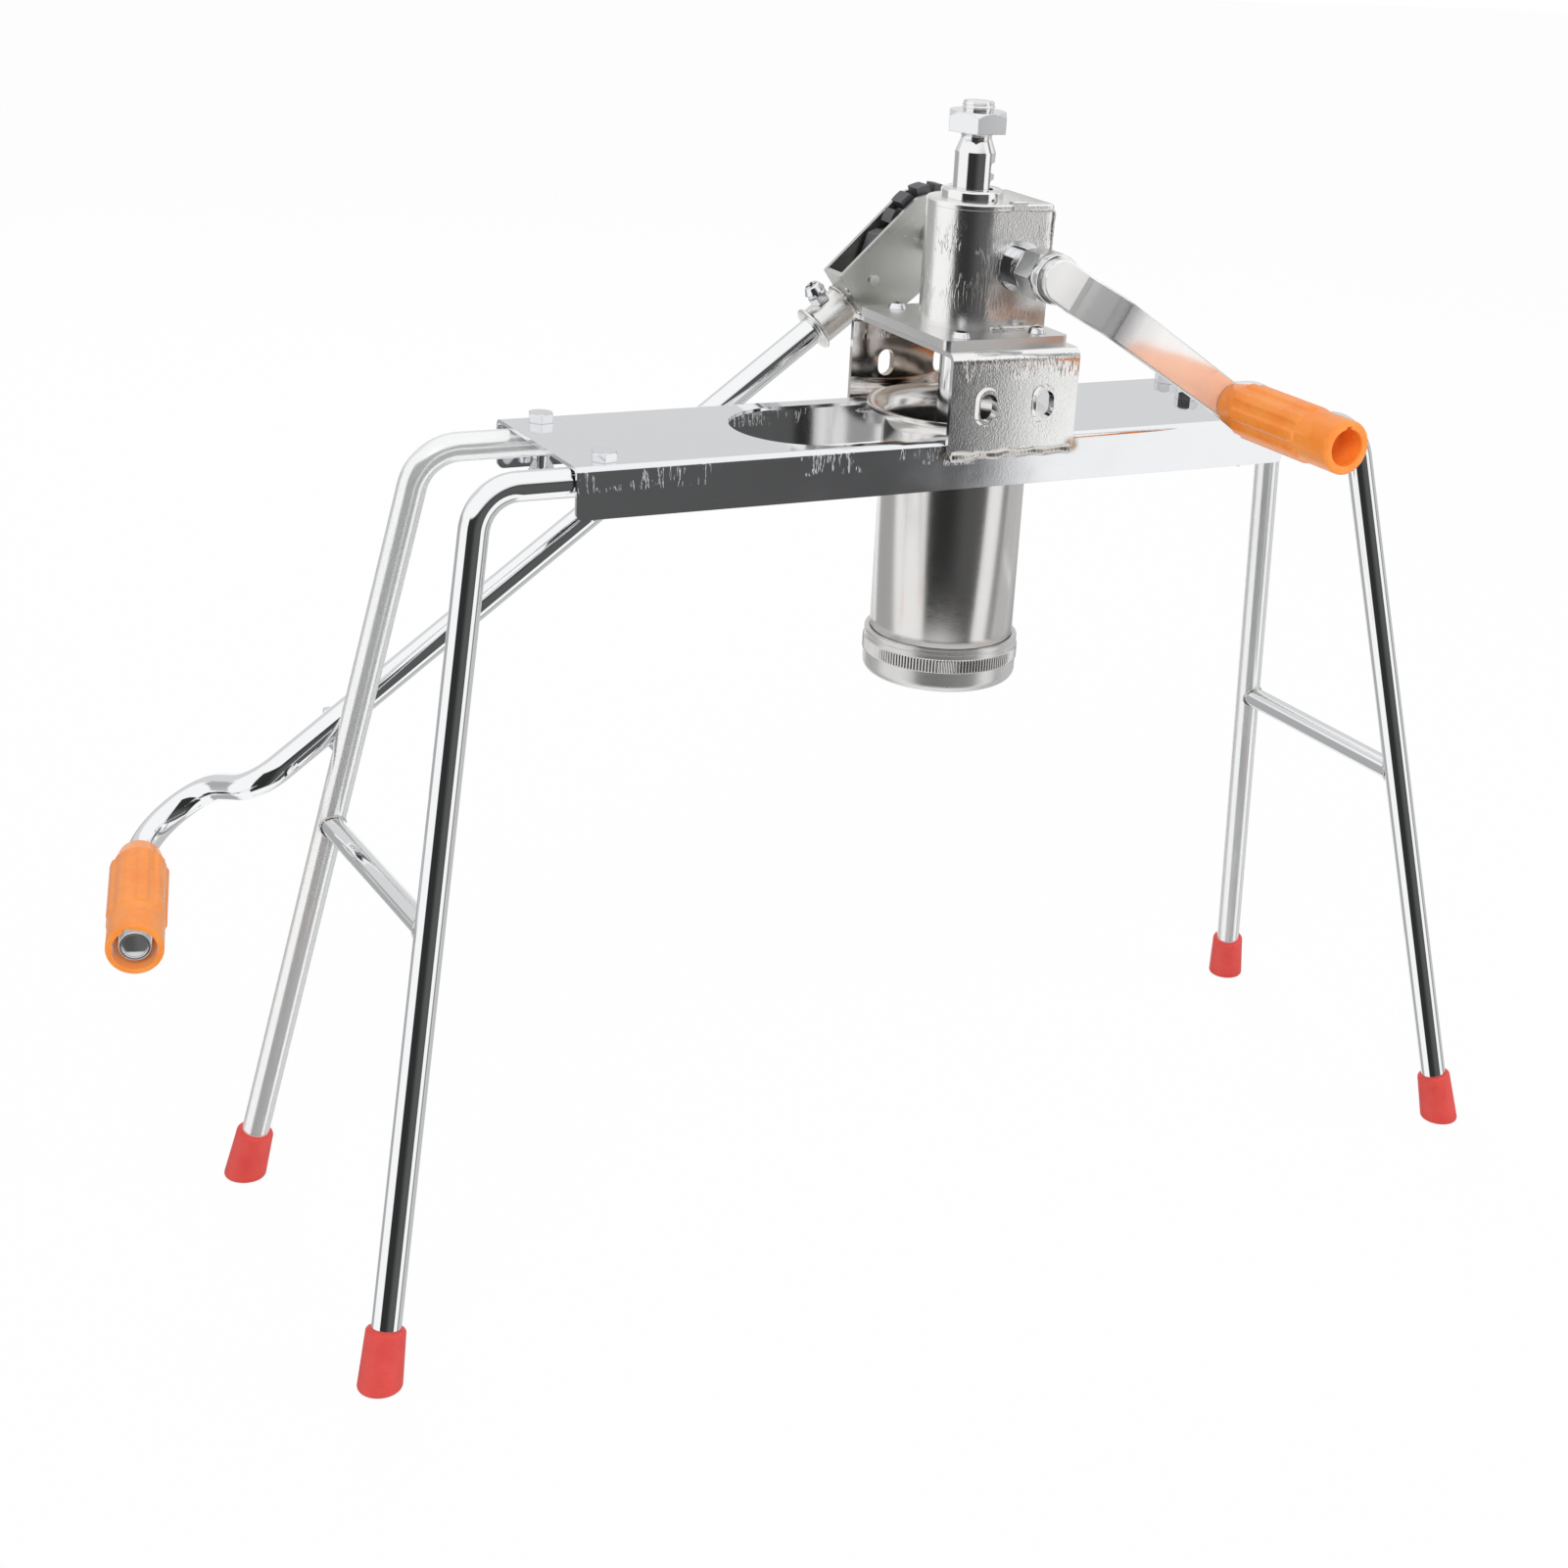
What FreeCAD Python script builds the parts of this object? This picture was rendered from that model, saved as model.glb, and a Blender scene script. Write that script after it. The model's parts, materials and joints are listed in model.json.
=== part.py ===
"""Hand-cranked pasta machine on a four-legged bench, as separate jointed pieces.

X runs along the bench, Y to the rear, Z up; millimetres; the soles stand on Z = 0.
"""
import math
import os

import FreeCAD
import Part
import Sketcher

V = FreeCAD.Vector

doc = FreeCAD.newDocument("pasta_machine")

# alias, value, meaning
SIZES = [
    ("shift_x", 30.3, "moves the model so that its bounding box is centred on X = 0"),
    ("shift_y", 15.3, "the same for Y = 0"),
    ("plate_len", 341.5, "bench top length"),
    ("plate_wide", 82.5, "bench top width over the flanges"),
    ("plate_drop", 20.8, "flange height"),
    ("plate_thick", 1.5, "bench sheet thickness"),
    ("plate_top", 354.5, "height of the bench top"),
    ("plate_mid", -3.75, "X of the bench top's middle"),
    ("plate_mid_y", 2.25, "Y of the bench top's middle"),
    ("plate_bend", 3, "outer bend radius of the bench sheet"),
    ("plate_corner", 2.8, "corner radius of the flanges' ends"),
    ("slot_half", 32.7, "half width of the barrel slot"),
    ("slot_left", -55, "X of the slot's left round end centre"),
    ("tube_rad", 6, "leg and lever tube outer radius"),
    ("tube_wall", 1.2, "tube wall"),
    ("sole_x", 276.6, "foot sole centre from the middle, X"),
    ("sole_y", 91, "foot sole centre from the middle, Y"),
    ("leg_mid", 1.4, "X of the middle between the left and right legs"),
    ("knee_x", 212.6, "where leg and top rail axes meet, X"),
    ("knee_y", 31, "where leg and top rail axes meet, Y"),
    ("knee_bend", 19, "leg bend radius on the tube axis"),
    ("rail_reach", 30, "how far a tube runs under the bench top"),
    ("foot_top_rad", 8, "rubber foot radius at its mouth"),
    ("foot_low_rad", 9.3, "rubber foot radius at the sole"),
    ("foot_tall", 25, "rubber foot length along the tube"),
    ("cross_high", 180, "height of the crossbars"),
    ("cross_rad", 5, "crossbar tube radius"),
    ("bolt_inset", 15, "leg bolt from the end of the bench top"),
    ("bolt_front", -30, "Y of the front leg bolts"),
    ("bolt_rear", 33.5, "Y of the rear leg bolts"),
    ("bolt_rad", 2.5, "leg bolt radius"),
    ("bolt_flats", 9.5, "bolt heads across flats"),
    ("bolt_head", 3.9, "bolt head height"),
    ("bolt_nut", 5, "height of the wing nuts' bosses"),
    ("spare_bolt_x", 141.2, "bolt on the bench top behind the crank, X"),
    ("spare_bolt_y", 2.2, "bolt on the bench top behind the crank, Y"),
    ("hook_rad", 2.5, "lever hook rod radius"),
    ("rack_x", 17.5, "X of the rack and barrel axis"),
    ("bridge_left", -10.8, "X of the bridge's left edge"),
    ("bridge_long", 62, "bridge length along X"),
    ("bridge_top", 391, "height of the bridge's top face"),
    ("bridge_foot", 349, "height of the bridge walls' lower edge"),
    ("bridge_thick", 2, "bridge sheet thickness"),
    ("bridge_bend", 4, "bridge outer bend radius"),
    ("oval_rad", 4, "half width of the oval wall holes"),
    ("oval_tall", 3.5, "straight height of the oval wall holes"),
    ("oval_high", 368.5, "height of the oval wall holes"),
    ("collar_rad", 5.5, "half width of the raised collars round the oval holes"),
    ("collar_tall", 5.5, "straight height of the raised collars"),
    ("collar_out", 1.8, "how far the collars stand out of the walls"),
    ("head_thick", 4, "head plate thickness"),
    ("head_front", -34, "Y of the head plate's front edge"),
    ("head_rear", 39, "Y of the head plate's rear edge"),
    ("house_rad", 19, "gear housing tube radius"),
    ("house_right", 47, "X of the gear housing's right face"),
    ("house_wall", 3, "gear housing wall"),
    ("house_top", 446.8, "height of the gear housing's top"),
    ("lid_thick", 2.5, "gear housing lid thickness"),
    ("shaft_x", 31.5, "X of the crank shaft"),
    ("shaft_z", 421.5, "height of the crank shaft"),
    ("shaft_rad", 6, "crank shaft radius in its bushes"),
    ("gear_module", 2.2, "module of rack and pinion"),
    ("gear_teeth", 8, "pinion teeth"),
    ("rack_rad", 8.6, "rack rod radius"),
    ("rack_flat", 6.75, "distance of the toothed face from the rack's axis"),
    ("rack_low", 279, "height of the rack's lower shoulder in the lowered place"),
    ("rack_high", 471.4, "height where the rack's cone meets the thread"),
    ("stud_top", 486.2, "height of the rack's threaded end"),
    ("stud_rad", 6.4, "radius of the rack's threaded end"),
    ("rack_nut_low", 474, "height of the rack nut's underside"),
    ("guide_top", 451, "height of the rack guide's collar"),
    ("bore_rad", 29.6, "barrel inner radius"),
    ("barrel_rad", 31.6, "barrel outer radius"),
    ("barrel_low", 245.2, "height of the barrel's lower edge"),
    ("lip_rad", 38.6, "barrel lip radius"),
    ("lip_curl", 7, "curl radius under the barrel lip"),
    ("lip_start", 350.5, "height where the barrel wall starts to curl"),
    ("cap_rad", 33.9, "screw cap radius"),
    ("cap_low", 239, "height of the screw cap's lower face"),
    ("cap_high", 259, "height of the screw cap's rim"),
    ("piston_low", 270, "height of the piston's face in the lowered place"),
    ("hub_front", -49, "Y of the crank arm's inner face at the hub"),
    ("arm_thick", 4, "crank arm thickness"),
    ("arm_wide", 15.9, "crank arm width at the grip"),
    ("hub_wide", 18, "crank arm width at the hub"),
    ("arm_long", 101, "crank arm length between centres"),
    ("arm_jog", 10, "how far the arm steps outwards"),
    ("arm_tilt", 31.6, "crank arm angle below the horizontal, degrees"),
    ("grip_long", 77, "handle grip length"),
    ("grip_rad", 12, "handle grip radius"),
    ("grip_neck_rad", 9, "handle grip radius at the neck"),
    ("grip_neck", 12, "length of the grip's tapering neck"),
    ("grip_collar", 21, "length of the grip's smooth end collar"),
    ("grip_bore", 6.06, "grip bore radius on its axle"),
    ("grip_mouth", 7.15, "grip bore radius at the open end"),
    ("grip_recess", 13, "depth of the grip's wide mouth"),
    ("chan_near", 50, "Y of the lever channel's near face"),
    ("chan_wide", 16, "lever channel width"),
    ("chan_up", 14, "lever channel wall above the shaft's line"),
    ("chan_down", 16.2, "lever channel wall below the shaft's line"),
    ("chan_corner", 13, "lever channel lower corner radius"),
    ("chan_end", 47, "distance of the channel's end plate from the shaft"),
    ("chan_thick", 2, "lever channel sheet thickness"),
    ("ratchet_rad", 22, "ratchet wheel tip radius"),
    ("ratchet_root", 17, "ratchet wheel root radius"),
    ("ratchet_teeth", 14, "ratchet wheel teeth"),
    ("lever_tilt", 35.7, "lever angle below the horizontal, degrees"),
    ("lever_y", 64.7, "Y of the lever tube's axis"),
    ("lever_drop", 4.2, "lever tube axis below the shaft's line"),
    ("socket_rad", 8.7, "lever socket outer radius"),
    ("socket_end", 66, "distance of the socket's mouth from the shaft"),
    ("socket_mouth", 10.3, "radius of the ring at the socket's mouth"),
    ("neck_start", 363, "distance of the first lever bend from the shaft"),
    ("neck_roll", 5.7, "turn of the lever's bent end about the lever, degrees"),
    ("rear_rad", 5, "crank shaft radius behind the pinion"),
    ("pawl_pin_far", 35, "distance of the pawl pin from the shaft along the lever"),
    ("pawl_pin_up", 2.7, "height of the pawl pin over the shaft's line"),
    ("run_gap", 0.05, "radial gap of running fits"),
]

sheet = doc.addObject("Spreadsheet::Sheet", "dims")
for row, (alias, number, meaning) in enumerate(SIZES, start=1):
    sheet.set("A%d" % row, meaning)
    sheet.set("B%d" % row, str(number))
    sheet.setAlias("B%d" % row, alias)
doc.recompute()

probe = doc.addObject("App::FeaturePython", "probe")
probe.addProperty("App::PropertyFloat", "reading")

nodes = []


def size(formula):
    """The number that a formula of sheet sizes gives, such as 'plate_top - 2'."""
    probe.setExpression("reading", linked(formula))
    probe.recompute()
    return probe.reading


def linked(formula):
    """The same formula as an expression on the sheet."""
    words = []
    word = ""
    for sign in str(formula) + " ":
        if sign.isalnum() or sign in "._":
            word += sign
            continue
        words.append("dims." + word if word in ALIASES else word)
        words.append(sign)
        word = ""
    return "".join(words).strip()


ALIASES = {alias for alias, _, _ in SIZES}


def settle():
    """Recompute, and stop with the names of whatever failed."""
    doc.recompute()
    bad = [t for t in doc.Objects if "Invalid" in t.State or "Error" in t.State]
    if bad:
        raise RuntimeError("; ".join("%s: %s" % (t.Name, t.getStatusString()) for t in bad))


def bind(thing, **formulas):
    """Bind properties to formulas; a double underscore stands for a dot."""
    for name, formula in formulas.items():
        thing.setExpression(name.replace("__", "."), linked(formula))
    return thing


def place(thing, x="0", y="0", z="0", axis=None, turn="0"):
    """Put a piece somewhere, turned about an axis by a bound angle in degrees."""
    if axis is not None:
        thing.Placement = FreeCAD.Placement(V(0, 0, 0), FreeCAD.Rotation(V(*axis), 1))
        bind(thing, Placement__Rotation__Angle=turn)
    return bind(thing, Placement__Base__x=x, Placement__Base__y=y, Placement__Base__z=z)


def node(thing, label, x="0", y="0", z="0", axis=None, turn="0"):
    """Name a finished sub-part and move it to its place in the machine."""
    thing.Label = label
    place(thing, "shift_x + " + x, "shift_y + " + y, z, axis, turn)
    nodes.append(thing)
    return thing


# Sketched bodies


def new_body(name):
    return doc.addObject("PartDesign::Body", "body_" + name)


def origin_part(body, role):
    return next(item for item in body.Origin.OriginFeatures if item.Role == role)


def sketch_on(body, role, lift="0"):
    """A sketch on one of the body's own planes, lifted along the plane's normal."""
    sketch = body.newObject("Sketcher::SketchObject", "sketch")
    sketch.AttachmentSupport = (origin_part(body, role), [""])
    sketch.MapMode = "FlatFace"
    bind(sketch, AttachmentOffset__Base__z=lift)
    return sketch


def hold(sketch, kind, geometry, end, formula):
    spot = sketch.addConstraint(Sketcher.Constraint(kind, -1, 1, geometry, end, size(formula)))
    sketch.setExpression("Constraints[%d]" % spot, linked(formula))


def arc_centre(start, end, radius, side):
    """Centre of an arc, on the left of its chord for side 1, on the right for -1."""
    chord = end - start
    half = chord.Length / 2
    rise = math.sqrt(max(radius * radius - half * half, 0))
    left = V(-chord.y, chord.x, 0).normalize()
    return start + chord / 2 + left * rise * side


def outline(sketch, corners):
    """A closed outline; a corner (x, y, radius, side) is reached by a short arc."""
    spots = [V(size(c[0]), size(c[1]), 0) for c in corners]
    first = None
    for index, corner in enumerate(corners):
        start = spots[index - 1]
        end = spots[index]
        if len(corner) == 2:
            edge = sketch.addGeometry(Part.LineSegment(start, end))
            ends = (1, 2)
        else:
            radius = size(corner[2])
            middle = arc_centre(start, end, radius, corner[3])
            angles = [math.atan2(p.y - middle.y, p.x - middle.x) for p in (start, end)]
            circle = Part.Circle(middle, V(0, 0, 1), radius)
            counter = corner[3] > 0
            first_angle, last_angle = angles if counter else angles[::-1]
            edge = sketch.addGeometry(Part.ArcOfCircle(circle, first_angle, last_angle))
            ends = (1, 2) if counter else (2, 1)
            if near(2 * radius, (end - start).Length, 0.001):
                way = 0 if abs(end.x - start.x) < abs(end.y - start.y) else 1
                middle_of_ends = f"(({corners[index - 1][way]}) + ({corner[way]})) / 2"
                hold(sketch, ("DistanceX", "DistanceY")[way], edge, 3, middle_of_ends)
            else:
                spot = sketch.addConstraint(Sketcher.Constraint("Radius", edge, radius))
                sketch.setExpression("Constraints[%d]" % spot, linked(corner[2]))
        if first is None:
            first = (edge, ends[0])
        else:
            sketch.addConstraint(Sketcher.Constraint("Coincident", *last, edge, ends[0]))
        hold(sketch, "DistanceX", edge, ends[1], corner[0])
        hold(sketch, "DistanceY", edge, ends[1], corner[1])
        last = (edge, ends[1])
    sketch.addConstraint(Sketcher.Constraint("Coincident", *last, *first))
    return sketch


def circle(sketch, x, y, radius):
    ring = Part.Circle(V(size(x), size(y), 0), V(0, 0, 1), size(radius))
    edge = sketch.addGeometry(ring)
    hold(sketch, "DistanceX", edge, 3, x)
    hold(sketch, "DistanceY", edge, 3, y)
    spot = sketch.addConstraint(Sketcher.Constraint("Radius", edge, size(radius)))
    sketch.setExpression("Constraints[%d]" % spot, linked(radius))
    return sketch


def box_corners(x_low, y_low, x_high, y_high):
    return [(x_low, y_low), (x_high, y_low), (x_high, y_high), (x_low, y_high)]


def obround(sketch, x_one, x_two, y, radius, upright=False):
    """A slot outline between two centres along X, or along Y when upright."""
    low, high = "(%s) - (%s)" % (y, radius), "(%s) + (%s)" % (y, radius)
    turns = [(x_two, low), (x_two, high, radius, 1), (x_one, high), (x_one, low, radius, 1)]
    if upright:
        turns = [(c[1], c[0]) + tuple(c[2:3]) + tuple(-s for s in c[3:]) for c in turns]
    return outline(sketch, turns)


def pad(body, sketch, length, middle=False, back=False, taper=0):
    """Raise a sketch; a negative taper in degrees narrows it on the way."""
    thing = body.newObject("PartDesign::Pad", "pad")
    thing.Profile = sketch
    thing.Midplane = middle
    thing.Reversed = back
    thing.TaperAngle = taper
    return bind(thing, Length=length)


def pocket(body, sketch, length=None, back=False, middle=False):
    """Cut a sketch out of the body: right through unless a depth is given."""
    settle()
    before = body.Shape.Volume
    thing = body.newObject("PartDesign::Pocket", "pocket")
    thing.Profile = sketch
    thing.Reversed = back
    thing.Midplane = middle
    if length is None:
        thing.Type = "ThroughAll"
        thing.Midplane = True
    else:
        bind(thing, Length=length)
    doc.recompute()
    if not 0 < body.Shape.Volume < before:
        raise RuntimeError("a pocket cut nothing from " + body.Name)
    return thing


def spun(body, corners, role="XZ_Plane", cut=False):
    """Revolve an outline about the sketch's upright axis."""
    sketch = outline(sketch_on(body, role), corners)
    kind = "PartDesign::Groove" if cut else "PartDesign::Revolution"
    thing = body.newObject(kind, "spun")
    thing.Profile = sketch
    thing.ReferenceAxis = (sketch, ["V_Axis"])
    thing.Angle = 360
    return thing


def round_pattern(body, feature, count, role="Z_Axis"):
    thing = body.newObject("PartDesign::PolarPattern", "pattern")
    thing.Originals = [feature]
    thing.Axis = (origin_part(body, role), [""])
    thing.Angle = 360
    bind(thing, Occurrences=count)
    body.Tip = thing
    return thing


def row_pattern(body, feature, role, count, length):
    thing = body.newObject("PartDesign::LinearPattern", "pattern")
    thing.Originals = [feature]
    thing.Direction = (origin_part(body, role), [""])
    bind(thing, Occurrences=count, Length=length)
    body.Tip = thing
    return thing


# Plain solids


def cylinder(radius, height, x="0", y="0", z="0", axis=None, turn="0"):
    thing = doc.addObject("Part::Cylinder", "cylinder")
    bind(thing, Radius=radius, Height=height)
    return place(thing, x, y, z, axis, turn)


def cone(low, high, height, x="0", y="0", z="0", axis=None, turn="0"):
    thing = doc.addObject("Part::Cone", "cone")
    bind(thing, Radius1=low, Radius2=high, Height=height)
    return place(thing, x, y, z, axis, turn)


def block(length, width, height, x="0", y="0", z="0"):
    thing = doc.addObject("Part::Box", "block")
    bind(thing, Length=length, Width=width, Height=height)
    return place(thing, x, y, z)


def minus(base, *tools):
    for tool in tools:
        cut = doc.addObject("Part::Cut", "cut")
        cut.Base = base
        cut.Tool = tool
        base = cut
    return base


def joined(*pieces):
    thing = doc.addObject("Part::MultiFuse", "joined")
    thing.Shapes = list(pieces)
    return thing


def shared(base, tool):
    thing = doc.addObject("Part::Common", "shared")
    thing.Base = base
    thing.Tool = tool
    return thing


def group(pieces):
    thing = doc.addObject("Part::Compound", "group")
    thing.Links = pieces
    return thing


def hexagon(flats, height, bore=None, chamfer="0.8"):
    """A hexagon nut or head standing on Z = 0, with chamfered corners."""
    prism = doc.addObject("Part::Prism", "prism")
    prism.Polygon = 6
    bind(prism, Circumradius="(%s) / 1.732" % flats, Height=height)
    rounded = doc.addObject("Part::Chamfer", "corner_cut")
    rounded.Base = cylinder("(%s) / 1.732" % flats, height)
    doc.recompute()
    width = size(chamfer)
    rounded.Edges = [(1, width, width), (3, width, width)]
    body = shared(prism, rounded)
    return body if bore is None else minus(body, cylinder(bore, height))


def bent_wire(points, radii):
    """A wire through points, with each inner corner rounded to its own radius."""
    edges = []
    start = points[0]
    for before, corner, after, radius in zip(points, points[1:], points[2:], radii):
        into = (before - corner).normalize()
        out = (after - corner).normalize()
        angle = into.getAngle(out)
        reach = radius / math.tan(angle / 2)
        one = corner + into * reach
        two = corner + out * reach
        bisector = (into + out).normalize()
        middle = corner + bisector * (radius / math.sin(angle / 2) - radius)
        edges.append(Part.LineSegment(start, one).toShape())
        edges.append(Part.Arc(one, middle, two).toShape())
        start = two
    edges.append(Part.LineSegment(start, points[-1]).toShape())
    return Part.Wire(edges)


def rod_along(wire, radius, bore=None):
    """A round rod, or a tube with a bore, swept along a wire."""
    spine = doc.addObject("Part::Feature", "spine")
    spine.Shape = wire
    start = wire.Edges[0]
    heading = start.tangentAt(start.FirstParameter)
    swept = []
    for formula in [radius] if bore is None else [radius, bore]:
        ring = doc.addObject("Part::Circle", "ring")
        ring.Placement = FreeCAD.Placement(start.Vertexes[0].Point,
                                           FreeCAD.Rotation(V(0, 0, 1), heading))
        bind(ring, Radius=formula)
        sweep = doc.addObject("Part::Sweep", "sweep")
        sweep.Sections = [ring]
        sweep.Spine = (spine, ["Edge%d" % (i + 1) for i in range(len(wire.Edges))])
        sweep.Solid = True
        swept.append(sweep)
    return swept[0] if bore is None else minus(*swept)


def edge_names(shape, wanted):
    return ["Edge%d" % number for number, edge in enumerate(shape.Edges, start=1) if wanted(edge)]


def soften(body, radius, wanted):
    """Round the wanted edges of a sketched body."""
    doc.recompute()
    tip = body.Tip
    thing = body.newObject("PartDesign::Fillet", "soften")
    thing.Base = (tip, edge_names(tip.Shape, wanted))
    return bind(thing, Radius=radius)


def softened(base, radius, wanted):
    """Round the wanted edges of a plain solid."""
    doc.recompute()
    width = size(radius)
    thing = doc.addObject("Part::Fillet", "softened")
    thing.Base = base
    edges = enumerate(base.Shape.Edges, start=1)
    thing.Edges = [(number, width, width) for number, edge in edges if wanted(edge)]
    return thing


def near(value, target, slack=0.05):
    return abs(value - target) < slack


def flat_at(edge, height):
    """True for an edge that lies wholly at one height."""
    return near(edge.BoundBox.ZMin, height) and near(edge.BoundBox.ZMax, height)


# Bench


def folded(name, half, low, top, thick, bend, length):
    """A sheet folded to an upside-down U along X."""
    body = new_body(name)
    side = f"({half}) - {bend}"
    wall = f"({half}) - {thick}"
    high = f"({top}) - {bend}"
    under = f"({top}) - {thick}"
    small = f"{bend} - {thick}"
    corners = [
        (f"-({half})", low), (f"-({half})", high), (f"-({side})", top, bend, -1),
        (side, top), (half, high, bend, -1), (half, low),
        (wall, low), (wall, high), (side, under, small, 1),
        (f"-({side})", under), (f"-({wall})", high, small, 1), (f"-({wall})", low),
    ]
    pad(body, outline(sketch_on(body, "YZ_Plane"), corners), length, middle=True)
    return body


CORNERS = {"front_left": (-1, -1), "front_right": (1, -1), "rear_left": (-1, 1), "rear_right": (1, 1)}
BOLT_X = "plate_mid + %d * (plate_len / 2 - bolt_inset)"
BOLT_Y = {-1: "bolt_front", 1: "bolt_rear"}
RAIL_HIGH = "plate_top - plate_thick - tube_rad - 0.01"


def bench_top():
    body = folded("bench_top", "plate_wide / 2", "plate_top - plate_drop", "plate_top",
                  "plate_thick", "plate_bend", "plate_len")
    slot = obround(sketch_on(body, "XY_Plane"), "slot_left - plate_mid", "rack_x - plate_mid",
                   "-plate_mid_y", "slot_half")
    pocket(body, slot)
    holes = sketch_on(body, "XY_Plane")
    for side_x, side_y in CORNERS.values():
        circle(holes, f"{side_x} * (plate_len / 2 - bolt_inset)", f"{BOLT_Y[side_y]} - plate_mid_y",
               "bolt_rad + 0.1")
    circle(holes, "spare_bolt_x - plate_mid", "spare_bolt_y - plate_mid_y", "bolt_rad + 0.1")
    pocket(body, holes)
    low = size("plate_top - plate_drop")
    ends = size("plate_len / 2")
    soften(body, "plate_corner", lambda e: flat_at(e, low) and near(abs(e.CenterOfMass.x), ends))
    node(body, "bench_top", x="plate_mid", y="plate_mid_y")


def leg_line(side_x, side_y):
    """Knee and sole of a leg's axis."""
    knee = V(size(f"leg_mid + {side_x} * knee_x"), side_y * size("knee_y"), size(RAIL_HIGH))
    return knee, V(size(f"leg_mid + {side_x} * sole_x"), side_y * size("sole_y"), 0)


def leg_solid(side_x, side_y, radius):
    """A straight rod on a leg's sloping axis, for cutting joints."""
    knee, sole = leg_line(side_x, side_y)
    return rod_along(Part.Wire([Part.LineSegment(knee, sole).toShape()]), radius)


def leg(label, side_x, side_y):
    """A tube from under the bench top down into its foot."""
    knee, sole = leg_line(side_x, side_y)
    inner = V(size(f"plate_mid + {side_x} * (plate_len / 2 - rail_reach)"), knee.y, knee.z)
    end = sole + (knee - sole).normalize() * 5.05
    wire = bent_wire([inner, knee, end], [size("knee_bend")])
    tube = rod_along(wire, "tube_rad", "tube_rad - tube_wall")
    hole = cylinder("bolt_rad + 0.1", "40", BOLT_X % side_x, BOLT_Y[side_y], "plate_top - 30")
    node(minus(tube, hole), label)


def foot(label, side_x, side_y):
    """A rubber cap on the leg's end, flat on the floor."""
    knee, sole = leg_line(side_x, side_y)
    up = (knee - sole).normalize()
    axis = (-up.y, up.x, 0)
    lean = "atan(hypot(sole_x - knee_x; sole_y - knee_y) / (%s))" % RAIL_HIGH
    below = sole - up * 5
    cap = cone("foot_low_rad", "foot_top_rad", "foot_tall + 5", str(below.x), str(below.y),
               str(below.z), axis, lean)
    cap = softened(cap, "1.5", lambda e: e.CenterOfMass.z > 20 and e.Curve.TypeId == "Part::GeomCircle")
    floor = block("60", "60", "20", str(sole.x - 30), str(sole.y - 30), "-20")
    cap = softened(minus(cap, floor), "1.6", lambda e: flat_at(e, 0))
    start = sole + up * 5
    bore = cylinder("tube_rad + 0.01", "40", str(start.x), str(start.y), str(start.z), axis, lean)
    node(minus(cap, bore), label)


def crossbar(label, side_x):
    """A tube along Y between two legs, coped onto them."""
    share = "(%s - cross_high) / (%s)" % (RAIL_HIGH, RAIL_HIGH)
    where_x = f"leg_mid + {side_x} * (knee_x + (sole_x - knee_x) * {share})"
    reach = f"(knee_y + (sole_y - knee_y) * {share})"
    bar = cylinder("cross_rad", f"2 * {reach}", where_x, f"-{reach}", "cross_high", (-1, 0, 0), "90")
    bore = cylinder("cross_rad - 1", f"2 * {reach}", where_x, f"-{reach}", "cross_high",
                    (-1, 0, 0), "90")
    cuts = [leg_solid(side_x, side_y, "tube_rad + 0.01") for side_y in (-1, 1)]
    node(minus(bar, bore, *cuts), label)


def head_and_shank(x, y, length):
    """A hexagon bolt that stands head up on the bench top."""
    head = place(hexagon("bolt_flats", "bolt_head", chamfer="0.6"), x, y, "plate_top", (0, 0, 1), "12")
    return joined(head, cylinder("bolt_rad", length, x, y, f"plate_top - ({length})"))


def wing_nut(x, y, top):
    """A nut with two ears that hang down and outwards."""
    body = new_body("wing_nut")
    ears = [("-3", "-0.6"), ("-8.5", "-6"), ("-6.5", "-9", "1.9", 1), ("-2.5", "-4.6"),
            ("2.5", "-4.6"), ("6.5", "-9"), ("8.5", "-6", "1.9", 1), ("3", "-0.6")]
    pad(body, outline(sketch_on(body, "XZ_Plane"), ears), "1.8", middle=True)
    pad(body, circle(sketch_on(body, "XY_Plane"), "0", "0", "3.9"), "bolt_nut", back=True, taper=-7)
    pocket(body, circle(sketch_on(body, "XY_Plane"), "0", "0", "bolt_rad + 0.02"))
    return place(body, x, y, top, (0, 0, 1), "35")


def leg_bolts():
    """The bolts that clamp the leg tubes under the bench top, and their wing nuts."""
    under = "plate_thick + 2 * tube_rad + 0.02"
    bolts = []
    nuts = []
    for side_x, side_y in CORNERS.values():
        where = (BOLT_X % side_x, BOLT_Y[side_y])
        bolts.append(head_and_shank(*where, f"{under} + bolt_nut + 2.5"))
        nuts.append(wing_nut(*where, f"plate_top - ({under})"))
    node(group(bolts), "leg_bolts")
    node(group(nuts), "leg_wing_nuts")


def bench_bolt():
    where = ("spare_bolt_x", "spare_bolt_y")
    node(head_and_shank(*where, "plate_thick + 7"), "bench_bolt")
    nut = hexagon("bolt_flats", "4", "bolt_rad + 0.02", "0.6")
    node(nut, "bench_bolt_nut", *where, "plate_top - plate_thick - 4.01", (0, 0, 1), "5")


def lever_hook():
    """A bent rod on the rear left leg; the lever lies in it."""
    high = 211.1
    knee, sole = leg_line(-1, 1)
    start = knee + (sole - knee) * ((knee.z - high) / knee.z)
    wire = bent_wire([start, V(start.x, 76, high), V(start.x, 76, high + 14)], [5])
    node(minus(rod_along(wire, "hook_rad"), leg_solid(-1, 1, "tube_rad + 0.01")), "lever_hook")


# Bridge and head


RACK_ROOM = "rack_rad + run_gap"


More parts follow.
